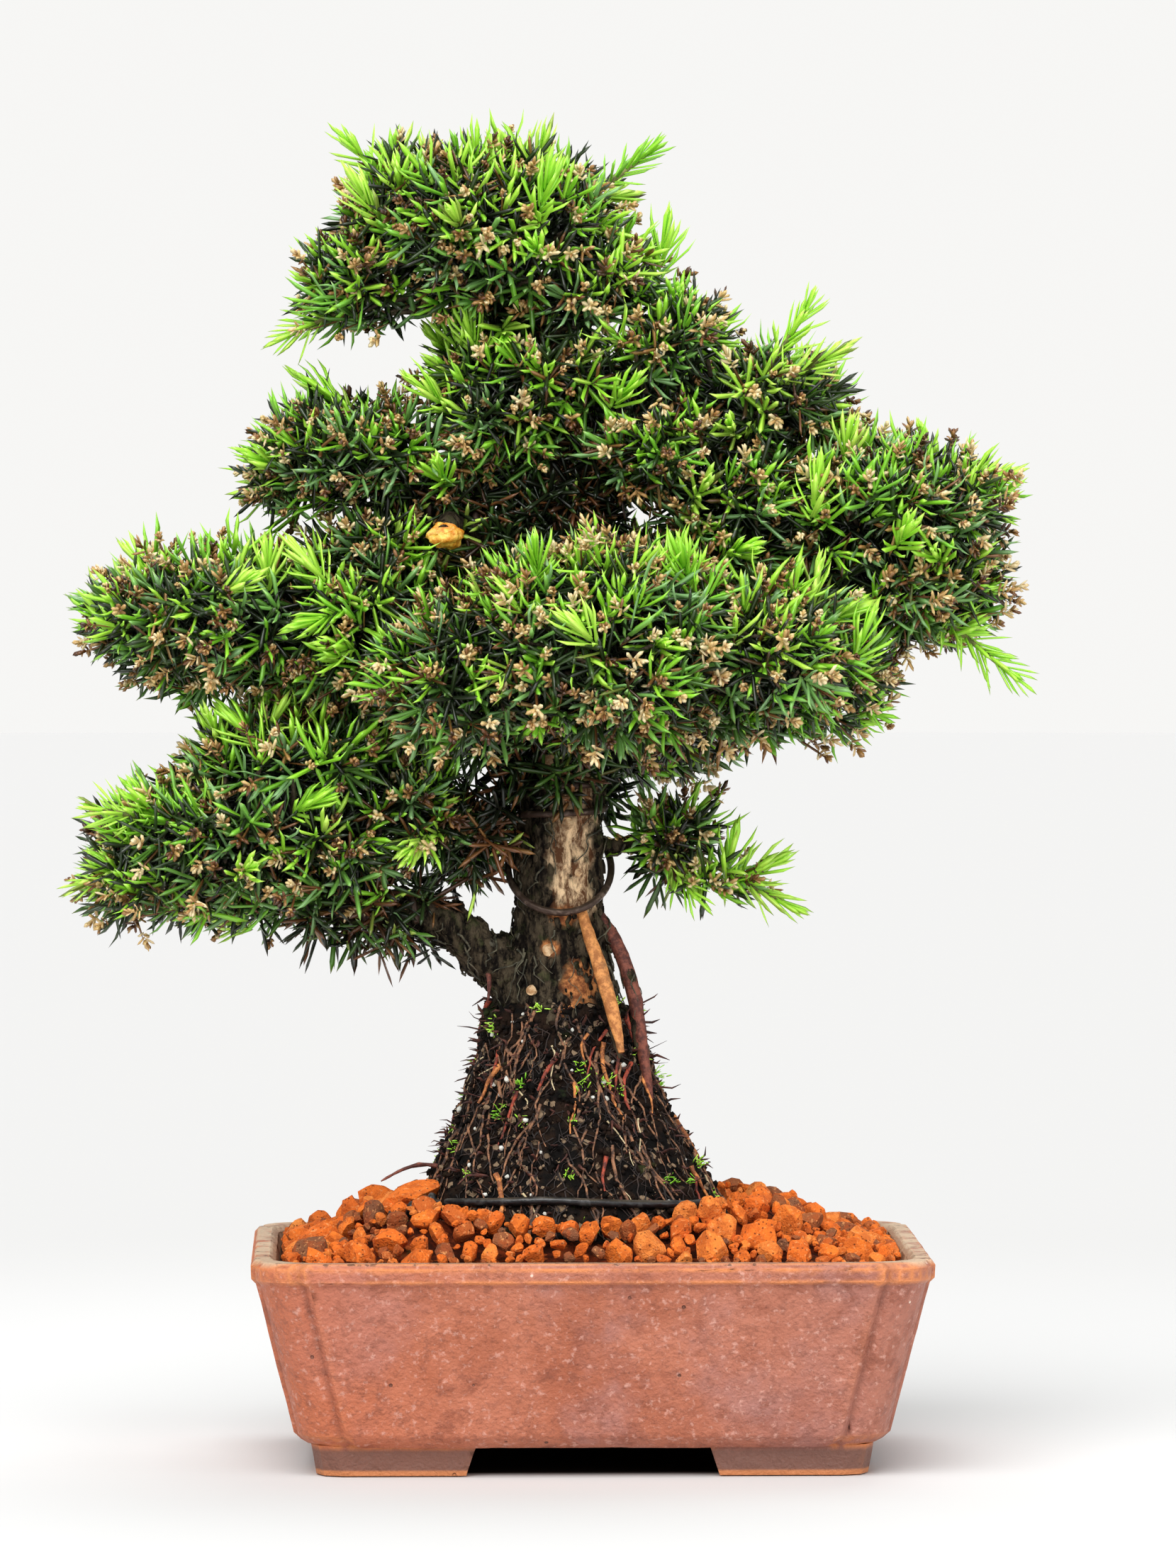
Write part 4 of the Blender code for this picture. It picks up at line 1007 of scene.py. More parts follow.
def make_bark_flakes(wood, skin, bark):
    """Loose flakes of bark and lichen on the trunk and the low bough, and fibres that hang on them."""
    rng = np.random.default_rng(BARK_SEED)
    points, normals = points_of(wood.data), normals_of(wood.data)
    x, y, z = (points - np.array(TRUNK_FOOT)).T / MM
    bare = np.empty(len(points), np.float32)
    wood.data.attributes["bare"].data.foreach_get("value", bare)
    shown = (z > 0) & (z < 46) & (x > -40) & (x < 12) & (bare < 0.3)
    picked = rng.choice(np.flatnonzero(shown), BARK_FLAKES, replace=False)
    shapes = [make_stone(seed, 1) for seed in range(50, 55)]
    matrices, places = [], []
    for i in picked:
        out = unit(normals[i][None])[0]
        drop = unit((np.array(DOWN) + rng.normal(size=3) * 0.35)[None])[0]
        side = unit(np.cross(drop, out)[None])[0]
        drop = np.cross(out, side)
        wide = rng.uniform(0.4, 1.3) * MM
        tall = wide * rng.uniform(1.0, 2.2)
        matrices.append(np.column_stack([side * wide, drop * tall, out * wide * 0.55]))
        places.append(points[i] + out * wide * 0.1)
    flakes = many("bark_flakes", shapes, rng.integers(len(shapes), size=len(picked)), matrices, places)
    handed_over(new_piece("bark_flakes", flakes), bark)
    routes = []
    for i in rng.choice(np.flatnonzero(shown & (z < 34)), BARK_FIBRES, replace=False):
        thick = rng.uniform(0.10, 0.24) * MM
        length = int(rng.integers(5, 14))
        route = creeping_route(rng, skin, points[i], length, FIBRE_STEP, thick, 0.8, thick + 0.25 * MM)
        if len(route) > 3:
            routes.append(route)
    mossy = strand_material("bark_fibres", (0.022, 0.022, 0.012), (0.13, 0.115, 0.070))
    handed_over(strands("bark_fibres", routes, 0), mossy)


def make_stubs(skin):
    """Cut twig stubs and pale saw scars on the front of the trunk."""
    # Each cut: how far right of the trunk's foot and how high it lies, its radius and how far it stands out.
    cuts = [
        (-2.0, 41.2, 1.25, 0.9), (1.9, 41.6, 1.0, 0.7), (1.0, 31.0, 1.1, 0.5), (-1.2, 36.6, 0.8, 0.4),
        (-2.0, 10.4, 1.1, 0.4), (-4.6, 3.8, 0.9, 0.9), (2.8, 23.0, 0.7, 0.5),
    ]
    cut_wood = strand_material("cut_wood", (0.42, 0.22, 0.09), (0.74, 0.52, 0.30), 0.75)
    for i, (right, height, radius, stand) in enumerate(cuts):
        before_trunk = TRUNK_FOOT + Vector((right, -50.0, height)) * MM
        spot, normal, _, _ = skin.ray_cast(before_trunk, Vector((0, 1, 0)))
        if spot is None:
            raise RuntimeError("a stub found no trunk under it")
        put_down_all()
        bpy.ops.mesh.primitive_cylinder_add(vertices=14, radius=radius * MM, depth=stand * 2 * MM)
        stub = bpy.context.object
        stub.name = f"cut_stub_{i + 1}"
        with editing("DESELECT"):
            bpy.ops.mesh.select_mode(type="FACE")
        for face in stub.data.polygons:
            face.select = face.normal.z > 0.9
        with editing(None):
            for inset, rise in ((0.28, -0.18), (0.3, 0.12)):
                bpy.ops.mesh.inset(thickness=radius * inset * MM)
                bpy.ops.transform.translate(value=(0, 0, rise * MM))
        worked(stub, "BEVEL", width=0.12 * MM, segments=2)
        worked(stub, "SUBSURF", levels=1, render_levels=1)
        way = (Vector((0, -1, 0)) * 0.5 + normal).normalized()
        turn = way.to_track_quat("Z", "Y").to_matrix().to_4x4()
        stub.data.transform(Matrix.Translation(spot) @ turn)
        roughened(stub, 1.0 * MM, 0.12 * MM, 3)
        handed_over(stub, cut_wood, smooth_angle=45)


def make_old_cut(skin, bark):
    """The broad, resinous cut left where a bough was taken off, low in the crown's left side."""
    middle = Vector((TRUNK_FOOT.x - 19.0 * MM, -17.0 * MM, MOUND_HIGH.z + 78.0 * MM))
    root = skin.find_nearest(middle)[0]
    knee = root.lerp(middle, 0.5) + UP * 1.5 * MM
    stump = strands("old_cut_stump", [[(*root, 2.4 * MM), (*knee, 2.1 * MM), (*middle, 2.0 * MM)]], 3)
    worked(stump, "SUBSURF", levels=2, render_levels=2)
    handed_over(stump, bark)
    face = new_piece("old_cut_face", mesh_from("old_cut_face", *make_stone(61, 4)))
    points = points_of(face.data) * np.array([6.4, 4.0, 4.6]) * MM + np.array(middle)
    relief = lumps(points, 1.5 * MM, 3) * 0.5 * MM
    put_points(face.data, points + normals_of(face.data) * relief[:, None])
    resin = strand_material("resinous_wood", (0.66, 0.22, 0.01), (0.98, 0.60, 0.10), 0.4)
    handed_over(face, resin, smooth_angle=60)


def make_wires():
    """Brown training wire, the black anchoring wire and its twisted end."""
    brown = wire_material("brown_wire_finish", (0.060, 0.036, 0.026), (0.19, 0.13, 0.10), 0.55, 0.42)
    black = wire_material("black_wire_finish", (0.008, 0.008, 0.009), (0.05, 0.05, 0.05), 0.0, 0.30)
    for node in BROWN_WIRES + ["anchor_wire"]:
        wire = merged_copy(node, node + "_round")
        worked(wire, "SUBSURF", levels=1, render_levels=1)
        put_points(wire.data, points_of(wire.data) + normals_of(wire.data) * 0.07 * MM)
        slot, finish = ("black_wire", black) if node == "anchor_wire" else ("brown_wire", brown)
        handed_over(wire, finish, [node])
    handed_over(twisted_end(), black, ["anchor_wire_twist"])


def twisted_end():
    """The two ends of the anchoring wire wound round each other along their solid's longest axis."""
    points = points_of(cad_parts["anchor_wire_twist"].data)
    centre = points.mean(axis=0)
    _, _, axes = np.linalg.svd(points - centre, full_matrices=False)
    along = axes[0] * np.sign(axes[0][0])
    reach = ((points - centre) @ along).max()
    turns, steps = 3.4, 72
    routes = []
    for strand in range(2):
        route = []
        for i in range(steps + 1):
            share = i / steps
            angle = share * 2 * math.pi * turns + strand * math.pi
            off = (axes[1] * math.cos(angle) + axes[2] * math.sin(angle)) * 0.66 * MM
            route.append((*(centre + along * reach * (2 * share - 1) * 0.96 + off), 0.62 * MM))
        routes.append(route)
    return strands("anchor_wire_twisted_end", routes, 2)


# --- pieces: needles ---


def make_needle():
    """One needle, 1 long and 1 wide: a three-sided spindle, flattened, its widest part past the middle."""
    put_down_all()
    bpy.ops.mesh.primitive_uv_sphere_add(segments=3, ring_count=3, radius=0.5)
    needle = bpy.context.object
    for level, height, wide in ((-0.5, 0.0, 1.0), (-0.25, 0.10, 0.82), (0.25, 0.74, 1.0), (0.5, 1.0, 1.0)):
        with editing("DESELECT"):
            bpy.ops.mesh.select_mode(type="VERT")
        for vertex in needle.data.vertices:
            vertex.select = abs(vertex.co.z - level) < 0.05
        with editing(None):
            bpy.ops.transform.resize(value=(wide, wide * 0.52, 1.0))
            bpy.ops.transform.translate(value=(0, 0, height - level))
    with editing():
        bpy.ops.mesh.quads_convert_to_tris()
    points = points_of(needle.data)
    faces = np.array([p.vertices[:] for p in needle.data.polygons])
    bpy.data.objects.remove(needle)
    return points, faces


def unit(vectors):
    return vectors / np.maximum(np.linalg.norm(vectors, axis=1, keepdims=True), 1e-9)


def needle_mesh(name, needle, bases, ways, sides, lengths, widths, bends, tones):
    """The needles of a piece: each starts at its base and bends towards its upper side. Those that leave the
    box go."""
    shape, faces = needle
    across = unit(np.cross(ways, sides))
    upper = np.cross(across, ways)
    x, y, z = shape.T
    sideways = x[None, :] * widths[:, None]
    raised = y[None, :] * widths[:, None] + bends[:, None] * lengths[:, None] * z[None, :] ** 2
    forward = z[None, :] * lengths[:, None]
    points = bases[:, None, :] + across[:, None, :] * sideways[..., None]
    points = points + upper[:, None, :] * raised[..., None] + ways[:, None, :] * forward[..., None]
    low, high, spare = box_and_spare(MOST_OUTSIDE)
    kept = ((points < high + spare) & (points > low - spare)).all(axis=(1, 2))
    points, tones = points[kept], tones[kept]
    count, size = len(points), len(shape)
    all_faces = faces[None, :, :] + (np.arange(count) * size)[:, None, None]
    u = tones[:, None, None] + (x[faces] * 0.008)[None]
    v = np.broadcast_to((z[faces] * 0.96 + 0.02)[None], (count, *faces.shape))
    uv = np.stack([np.broadcast_to(u, v.shape), v], axis=-1)
    return mesh_from(name, points.reshape(-1, 3), all_faces.reshape(-1, 3), np.clip(uv, 0.001, 0.999))


def box_and_spare(share):
    """The corners of the model's box, and the room past them that is this share of the box."""
    low, high = np.array(CAD_BOX[0]), np.array(CAD_BOX[1])
    return low, high, (high - low) * share


class Pad:
    """The closed outside of one foliage pad, for sampling and for telling inside from outside."""

    def __init__(self, name):
        self.name = name
        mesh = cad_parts[name].data
        self.points = points_of(mesh)
        self.faces = np.array([p.vertices[:] for p in mesh.polygons])
        self.skin = surface_of(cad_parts[name])
        corners = self.points[self.faces]
        cross = np.cross(corners[:, 1] - corners[:, 0], corners[:, 2] - corners[:, 0])
        self.areas = np.linalg.norm(cross, axis=1) / 2
        self.normals = unit(cross)
        self.low, self.high = self.points.min(0), self.points.max(0)

    def holds(self, place, margin):
        """Whether a place lies inside this pad, deeper than the margin."""
        if (place < self.low).any() or (place > self.high).any():
            return False
        near, normal, _, distance = self.skin.find_nearest(Vector(place))
        return (Vector(place) - near).dot(normal) < 0 and distance > margin

    def spots(self, rng, spacing):
        """Places on the skin no closer than the spacing, with the outward directions there, smoothed."""
        count = int(self.areas.sum() / spacing**2 * 7)
        picks = rng.choice(len(self.areas), count, p=self.areas / self.areas.sum())
        a, b = rng.random(count), rng.random(count)
        turn = a + b > 1
        a[turn], b[turn] = 1 - a[turn], 1 - b[turn]
        corners = self.points[self.faces[picks]]
        places = corners[:, 0] + (corners[:, 1] - corners[:, 0]) * a[:, None]
        places += (corners[:, 2] - corners[:, 0]) * b[:, None]
        cells, kept = {}, []
        for i, place in enumerate(places):
            cell = tuple(np.floor(place / spacing).astype(int))
            close = (
                cells.get((cell[0] + dx, cell[1] + dy, cell[2] + dz), ())
                for dx in (-1, 0, 1) for dy in (-1, 0, 1) for dz in (-1, 0, 1)
            )
            if any(((place - places[j]) ** 2).sum() < spacing**2 for group in close for j in group):
                continue
            cells.setdefault(cell, []).append(i)
            kept.append(i)
        return places[kept], self.normals[picks[kept]]


def needles_of_shoots(rng, origins, axes, kind, size, tones, uneven=0.03):
    """Needles in a spiral up each shoot's stem: their bases, ways, sides, lengths, widths, bends and tones."""
    grid = (len(origins), kind.count)
    step = np.arange(kind.count)
    share = (step + 0.5) / kind.count
    start = rng.uniform(0, 2 * math.pi, len(origins))
    around = start[:, None] + GOLDEN_ANGLE * step[None, :] + rng.normal(0, 0.25, grid)
    helper = unit(np.cross(axes, rng.normal(size=axes.shape)))
    other = np.cross(axes, helper)
    lean = np.radians(kind.foot_lean + (kind.tip_lean - kind.foot_lean) * share**1.3)
    angle = lean[None, :] + rng.normal(0, 0.13, grid)
    radial = helper[:, None, :] * np.cos(around)[..., None] + other[:, None, :] * np.sin(around)[..., None]
    ways = axes[:, None, :] * np.cos(angle)[..., None] + radial * np.sin(angle)[..., None]
    stems = (kind.stem * size)[:, None] * share[None, :]
    bases = origins[:, None, :] + axes[:, None, :] * stems[..., None]
    longest_below_middle = (1.05 - 0.45 * np.abs(share - 0.45))[None, :]
    lengths = (kind.long * size)[:, None] * longest_below_middle * rng.uniform(0.8, 1.15, grid)
    widths = np.full(grid, kind.wide) * rng.uniform(0.85, 1.2, grid)
    bends = kind.bend * rng.uniform(0.5, 1.5, grid)
    shade = tones[:, None] + rng.normal(0, uneven, grid)
    grids = (bases, ways, -radial, lengths, widths, bends, shade)
    return [grid.reshape(-1, 3) if grid.ndim == 3 else grid.reshape(-1) for grid in grids]


def joined(parts):
    return [np.concatenate(column) for column in zip(*parts)]


def inside_box(origins, axes, reach):
    """Draws shoots of this reach back so that they hardly leave the model's box."""
    low, high, spare = box_and_spare(MOST_OUTSIDE * 0.5)
    tips = origins + axes * reach
    over = np.maximum(tips - (high + spare), 0) + np.minimum(tips - (low - spare), 0)
    return origins - over


def kinds_of_shoot(look):
    """The shoots of the crown, by name."""
    long, wide = look.needle_length, look.needle_width
    return {
        "tuft": Shoot(8, 3.4 * MM, long, wide, 88, 28, 0.42),
        "new": Shoot(17, 6.0 * MM, long * 1.04, wide * 1.05, 60, 10, 0.30),
        "bud": Shoot(9, 2.2 * MM, 1.75 * MM, 0.95 * MM, 85, 20, 0.15),
        "bud stalk": Shoot(1, 0.0, 6.0 * MM, 0.6 * MM, 0, 0, 0.0),
        "dry": Shoot(5, 3.0 * MM, long * 0.7, wide * 0.8, 95, 50, 0.1),
        "inner": Shoot(8, 4.5 * MM, long * 0.95, wide * 0.95, 85, 45, 0.06),
    }


def make_foliage(look):
    """Every pad of needles, the twigs that carry them, and the shoots inside and outside the pads."""
    rng = np.random.default_rng(FOLIAGE_SEED)
    needle = make_needle()
    material = needle_leaf(look)
    kinds = kinds_of_shoot(look)
    pads = {name: Pad(name) for name in PADS}
    wood = surface_of(bpy.data.objects["trunk_and_boughs"])
    twigs = []
    for node, pad in pads.items():
        places, normals = pad.spots(rng, look.tuft_spacing)
        others = [other for other in pads.values() if other is not pad]
        free = [
            not any(other.holds(place + normal * 1.2 * MM, 0.6 * MM) for other in others)
            for place, normal in zip(places, normals)
        ]
        places, normals = places[free], normals[free]
        under = np.clip(-normals[:, 2], 0, 1)
        outward = places - np.array([TRUNK_FOOT.x, TRUNK_FOOT.y, 0])
        outward[:, 2] = 0
        outward = unit(outward)
        axes = normals * (1.0 - 0.45 * under)[:, None] + np.array(UP) * 0.34
        axes = unit(axes + outward * (0.25 + 0.7 * under)[:, None] + rng.normal(0, 0.42, normals.shape))
        parts = pad_shoots(rng, look, kinds, places, normals, axes, outward)
        parts += inner_shoots(rng, pad, kinds["inner"], places, normals, axes)
        name = node.replace("foliage", "needles")
        mesh = needle_mesh(name, needle, *joined(parts))
        handed_over(new_piece(name, mesh), material, [node])
        twigs += pad_twigs(rng, pad, wood, places, normals)
    make_bough_shoots(rng, needle, material, kinds["inner"])
    twig_bark = strand_material("twig_bark", (0.040, 0.026, 0.018), (0.15, 0.105, 0.07))
    handed_over(strands("twigs", twigs, 0), twig_bark)
    make_stray_shoots(rng, needle, material)


def pad_shoots(rng, look, kinds, places, normals, axes, outward):
    """The shoots on a pad's skin: older tufts, bright new shoots, stalked dry buds and dead tufts."""
    count = len(places)
    under = np.clip(-normals[:, 2], 0, 1)
    lit = 0.5 + normals[:, 2] * 0.5 + 0.5 * (outward * normals).sum(axis=1)
    is_new = rng.random(count) < look.new_share * np.clip(lit, 0.05, 1.6)
    old = ~is_new
    size = rng.uniform(0.60, 1.15, count) * (1 - 0.2 * under)
    # Painted shade: shoots on the pad's underside get darker tones.
    tones = np.clip(rng.normal(0.49, 0.10, count) - 0.18 * under, 0.16, 0.66)
    sunk = 4.5 * MM * (1 - 0.55 * under) + rng.normal(0, 0.9 * MM, count)
    seat = places - normals * sunk[:, None] - axes * 1.2 * MM
    tuft_seat = inside_box(seat[old], axes[old], 9.5 * MM)
    parts = [needles_of_shoots(rng, tuft_seat, axes[old], kinds["tuft"], size[old], tones[old])]

    fresh = is_new.sum()
    new_axes = unit(axes[is_new] + rng.normal(0, 0.25, (fresh, 3)) + np.array(UP) * 0.15)
    new_seat = inside_box(places[is_new] - new_axes * 5.0 * MM, new_axes, 14.0 * MM)
    new_tones = rng.uniform(0.56, 0.685, fresh)
    new_size = rng.uniform(0.72, 1.1, fresh)
    parts.append(needles_of_shoots(rng, new_seat, new_axes, kinds["new"], new_size, new_tones))

    has_bud = np.repeat(old & (rng.random(count) < look.bud_share), 2)
    buds = has_bud.sum()
    bud_axes = unit(np.repeat(axes, 2, axis=0)[has_bud] + rng.normal(0, 0.35, (buds, 3)))
    stalk_foot = np.repeat(seat, 2, axis=0)[has_bud]
    offset = np.clip(rng.normal(0, 0.9 * MM, stalk_foot.shape), -1.6 * MM, 1.6 * MM)
    bud_seat = inside_box(stalk_foot + offset + bud_axes * 4.9 * MM, bud_axes, 3.0 * MM)
    stalk = bud_seat + bud_axes * 0.8 * MM - stalk_foot
    stalk_size = np.linalg.norm(stalk, axis=1) / kinds["bud stalk"].long
    brown = np.full(buds, 0.80)
    parts.append(needles_of_shoots(rng, stalk_foot, unit(stalk), kinds["bud stalk"], stalk_size, brown, 0.015))
    bud_tones = rng.choice([0.78, 0.83, 0.88, 0.93, 0.97], buds, p=[0.20, 0.16, 0.20, 0.24, 0.20])
    bud_size = rng.uniform(0.5, 1.25, buds)
    scales = needles_of_shoots(rng, bud_seat, bud_axes, kinds["bud"], bud_size, bud_tones, 0.06)
    scales[-1] = np.clip(scales[-1], 0.74, 0.985)
    parts.append(scales)

    dry = rng.random(count) < 0.16
    dry_seat = inside_box(places[dry] - normals[dry] * 4.0 * MM, axes[dry], 7.0 * MM)
    dry_tones = rng.uniform(0.74, 0.84, dry.sum())
    parts.append(needles_of_shoots(rng, dry_seat, axes[dry], kinds["dry"], np.ones(dry.sum()), dry_tones))
    return parts


def inner_shoots(rng, pad, kind, places, normals, axes):
    """The shoots at two depths inside a pad, given dark tones as painted shade."""
    parts = []
    # Each depth: how deep in mm, the share of spots that get a shoot there, and its tone, dark as painted
    # shade.
    for depth, share, tone in ((6.5, 0.85, 0.12), (10.5, 0.7, 0.03)):
        inner = rng.random(len(places)) < share
        seats = places[inner] - normals[inner] * depth * MM + rng.normal(0, 1.0 * MM, (inner.sum(), 3))
        held = [pad.holds(seat, 1.5 * MM) for seat in seats]
        seats, inner_axes = seats[held], unit(axes[inner][held] + rng.normal(0, 0.5, (sum(held), 3)))
        shade = np.clip(rng.normal(tone, 0.035, len(seats)), 0.0, 0.24)
        parts.append(needles_of_shoots(rng, seats, inner_axes, kind, np.ones(len(seats)), shade))
    return parts


def pad_twigs(rng, pad, wood, places, normals):
    """Routes of the twigs that run from half of a pad's tufts towards the nearest wood."""
    routes = []
    for place, normal in zip(places, normals):
        if rng.random() > 0.5:
            continue
        tip = Vector(place - normal * 3.4 * MM)
        near = wood.find_nearest(tip)[0]
        inward = (near - tip).normalized() * min(9.0 * MM, (near - tip).length)
        if not pad.holds(np.array(tip + inward), 1.0 * MM):
            continue
        knee = tip + inward * 0.5 + Vector(rng.normal(size=3)) * 0.9 * MM
        end = tip + inward
        routes.append([(*end, 0.55 * MM), (*knee, 0.45 * MM), (*tip, 0.32 * MM)])
    return routes


def make_bough_shoots(rng, needle, material, kind):
    """Shoots on the boughs inside the crown, which hide the wood there: living ones in dark tones as painted
    shade, and dead ones.
    """
    mesh = bpy.data.objects["trunk_and_boughs"].data
    points, normals = points_of(mesh), normals_of(mesh)
    height = (points[:, 2] - TRUNK_FOOT.z) / MM
    beside = (points[:, 0] - TRUNK_FOOT.x) / MM
    bearing = (height > 35) | ((beside < -21) & (height > 8)) | ((beside > 14) & (height > 10))
    places, normals = points[bearing], normals[bearing]
    picked = rng.choice(len(places), INNER_SHOOTS, replace=False)
    places, normals = places[picked], normals[picked]
    fork = np.array(TRUNK_FOOT) + np.array([-14.0, 0.0, 29.0]) * MM
    near_fork = fork + rng.normal(size=(FORK_SHOOTS, 3)) * np.array([3.2, 4.0, 3.6]) * MM
    places = np.vstack([places, near_fork])
    normals = np.vstack([normals, unit(rng.normal(size=(FORK_SHOOTS, 3)) - np.array([0.6, 0.3, 0.2]))])
    axes = unit(normals + rng.normal(0, 0.5, normals.shape))
    # Painted shade: the living shoots inside the crown get dark tones.
    tones = np.clip(rng.normal(0.12, 0.07, len(places)), 0.0, 0.30)
    dead = rng.random(len(places)) < 0.25
    tones[dead] = rng.uniform(0.735, 0.80, dead.sum())
    arrays = needles_of_shoots(rng, places, axes, kind, rng.uniform(0.7, 1.15, len(places)), tones)
    piece = new_piece("needles_inner", needle_mesh("needles_inner", needle, *arrays))
    handed_over(piece, material)


def make_stray_shoots(rng, needle, material):
    """Long new shoots that have escaped the clipped outline."""
    (_, top), (_, side), (low, _), (apex, apex_high) = (
        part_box(f"foliage_{pad}") for pad in ("right_top", "right_middle", "left_low", "apex")
    )
    top_low, side_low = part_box("foliage_right_top")[0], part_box("foliage_right_middle")[0]
    sprig_low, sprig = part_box("foliage_right_sprig")
    # Each shoot: a corner of its pad's box, how far from it the shoot starts and how long it is in mm, its
    # direction and its tone.
    shoots = [
        ((top.x, top_low.y, top.z), (-15, 12, -6), (0.55, -0.1, 0.85), 13, 0.60),
        ((top.x, top_low.y, top.z), (-14, 11, -8), (0.9, -0.2, 0.5), 12, 0.66),
        ((side.x, side_low.y, side_low.z), (-8, 16, 6), (0.75, -0.25, -0.62), 15, 0.58),
        ((side.x, side_low.y, side.z), (-10, 18, -10), (0.9, -0.1, 0.25), 9, 0.64),
        ((sprig.x, sprig_low.y, sprig_low.z), (-6, 5, 6), (0.86, -0.1, -0.46), 12, 0.64),
        ((sprig.x, sprig_low.y, sprig_low.z), (-14, 5, 6), (0.5, -0.5, -0.6), 6, 0.58),
        ((low.x, low.y, low.z), (9, 18, 10), (-0.92, -0.2, -0.32), 8, 0.66),
        ((low.x, low.y, low.z), (12, 12, 18), (-0.9, -0.35, 0.2), 9, 0.66),
        ((apex.x, apex.y, apex.z), (5, 18, 9), (-0.88, -0.1, -0.42), 7, 0.62),
        ((apex.x, apex.y, apex_high.z), (14, 20, -8), (-0.6, 0.0, 0.7), 8, 0.58),
        ((apex_high.x, apex.y, apex_high.z), (-12, 20, -9), (0.75, -0.1, 0.6), 9, 0.5),
    ]
    parts, stems = [], []
    for corner, offset, way, length, tone in shoots:
        axis = unit(np.array([way]))
        start = np.array([corner]) + np.array([offset]) * MM
        origin = inside_box(start, axis, (length + 4.0) * MM)
        kind = Shoot(int(length * 2.6), length * MM, 6.6 * MM, 0.95 * MM, 58, 16, 0.12)
        parts.append(needles_of_shoots(rng, origin, axis, kind, np.ones(1), np.array([tone])))
        foot = origin[0] - axis[0] * 5 * MM
        tip = origin[0] + axis[0] * length * MM
        stems.append([(*foot, 0.5 * MM), (*tip, 0.35 * MM)])
    mesh = needle_mesh("stray_shoot_needles", needle, *joined(parts))
    handed_over(new_piece("stray_shoot_needles", mesh), material)
    green = strand_material("green_stem", (0.10, 0.11, 0.03), (0.26, 0.24, 0.08))
    handed_over(strands("stray_shoot_stems", stems, 0), green)


# --- the stage ---


def make_floor():
    """A pale floor, painted lighter near the pot and darker far off to even out the lamps' light, with a
    painted shadow under the pot.
    """
    put_down_all()
    middle = (POT_CENTRE.x, POT_CENTRE.y, 0)
    bpy.ops.mesh.primitive_circle_add(vertices=96, radius=4.0, fill_type="NGON", location=middle)
    floor = bpy.context.object
    floor.name = "floor"
    floor.data.transform(Matrix.Translation(DOWN * 0.2 * MM))
    material, tree, shader = new_material("floor_paint")
    place = object_place(tree)
    away = put(tree, "ShaderNodeVectorMath", {0: place}, operation="LENGTH").outputs["Value"]
    # Painted light: lighter near the pot, lifting the shade the lamps leave there, and darker far off.
    tint = laid(tree, (0.695, 0.695, 0.69), (0.582, 0.580, 0.573), spread(tree, away, 0.10, 0.45))
    # Painted shadow: the floor inside the pot's footprint is painted near black.
    at = put(tree, "ShaderNodeSeparateXYZ", {0: place}).outputs
    half = (POT_HIGH - POT_LOW) / 2
    pot_shadow_masks = []
    for axis, reach in (("X", half.x), ("Y", half.y)):
        apart = put(tree, "ShaderNodeMath", {0: at[axis]}, operation="ABSOLUTE").outputs[0]
        pot_shadow_masks.append(spread(tree, apart, reach - 12.0 * MM, reach - 18.0 * MM))
    tint = laid(tree, tint, (0.020, 0.016, 0.014), *pot_shadow_masks)
    feed(tree, shader, Base_Color=tint, Roughness=0.9, Specular_IOR_Level=0.0)
    floor.data.materials.append(material)


def make_world(look):
    """Soft light from all round, with a warmer white behind the object."""
    world = bpy.data.worlds.new("studio")
    bpy.context.scene.world = world
    world.use_nodes = True
    tree = world.node_tree
    background = tree.nodes["Background"]
    background.inputs["Color"].default_value = colour(0.985, 0.99, 1.0)
    background.inputs["Strength"].default_value = look.ambient
    seen = put(tree, "ShaderNodeBackground", {"Color": colour(0.93, 0.925, 0.91), "Strength": 1.0})
    seen_directly = put(tree, "ShaderNodeLightPath").outputs["Is Camera Ray"]
    mix = {0: seen_directly, 1: background.outputs[0], 2: seen.outputs[0]}
    mixed = put(tree, "ShaderNodeMixShader", mix)
    tree.links.new(mixed.outputs[0], tree.nodes["World Output"].inputs["Surface"])


def make_camera(look):
    """The camera, in front of the pot and a little above its rim."""
    put_down_all()
    bpy.ops.object.camera_add()
    camera = bpy.context.object
    camera.name = "front_camera"
    camera.data.sensor_width = 36.0
    camera.data.lens = look.lens
    camera.data.clip_start = 0.01
    camera.data.clip_end = 50.0
    level = math.cos(CAMERA_ELEVATION)
    right, near = math.sin(CAMERA_AZIMUTH) * level, math.cos(CAMERA_AZIMUTH) * level
    back = Vector((right, -near, math.sin(CAMERA_ELEVATION)))
    camera.location = Vector((POT_CENTRE.x, POT_CENTRE.y, POT_HIGH.z)) + back * CAMERA_DISTANCE
    aim = Vector((POT_CENTRE.x, POT_CENTRE.y, CAMERA_AIM_HEIGHT))
    camera.rotation_euler = (aim - camera.location).to_track_quat("-Z", "Y").to_euler()
    bpy.context.scene.camera = camera


def make_stage(look):
    """The floor, soft studio lights and the camera."""
    make_floor()
    make_world(look)
    # Each lamp: where it stands, its softness in degrees and its power as a share of the key light's.
    lamps = {
        "key_light": ((-0.45, -1.0, 1.2), 52, 1.0),
        "fill_light": ((1.2, -1.0, 0.55), 50, 0.36),
        "top_light": ((0.15, 0.7, 1.6), 40, 0.42),
    }
    for name, (place, softness, share) in lamps.items():
        put_down_all()
        bpy.ops.object.light_add(type="SUN", location=place)
        lamp = bpy.context.object
        lamp.name = name
        lamp.data.angle = math.radians(softness)
        lamp.data.energy = look.key_power * share
        lamp.rotation_euler = (-Vector(place)).to_track_quat("-Z", "Y").to_euler()
    make_camera(look)
    bpy.context.scene.view_settings.view_transform = "Standard"
    bpy.context.scene.view_settings.look = "None"


# --- the add-on ---


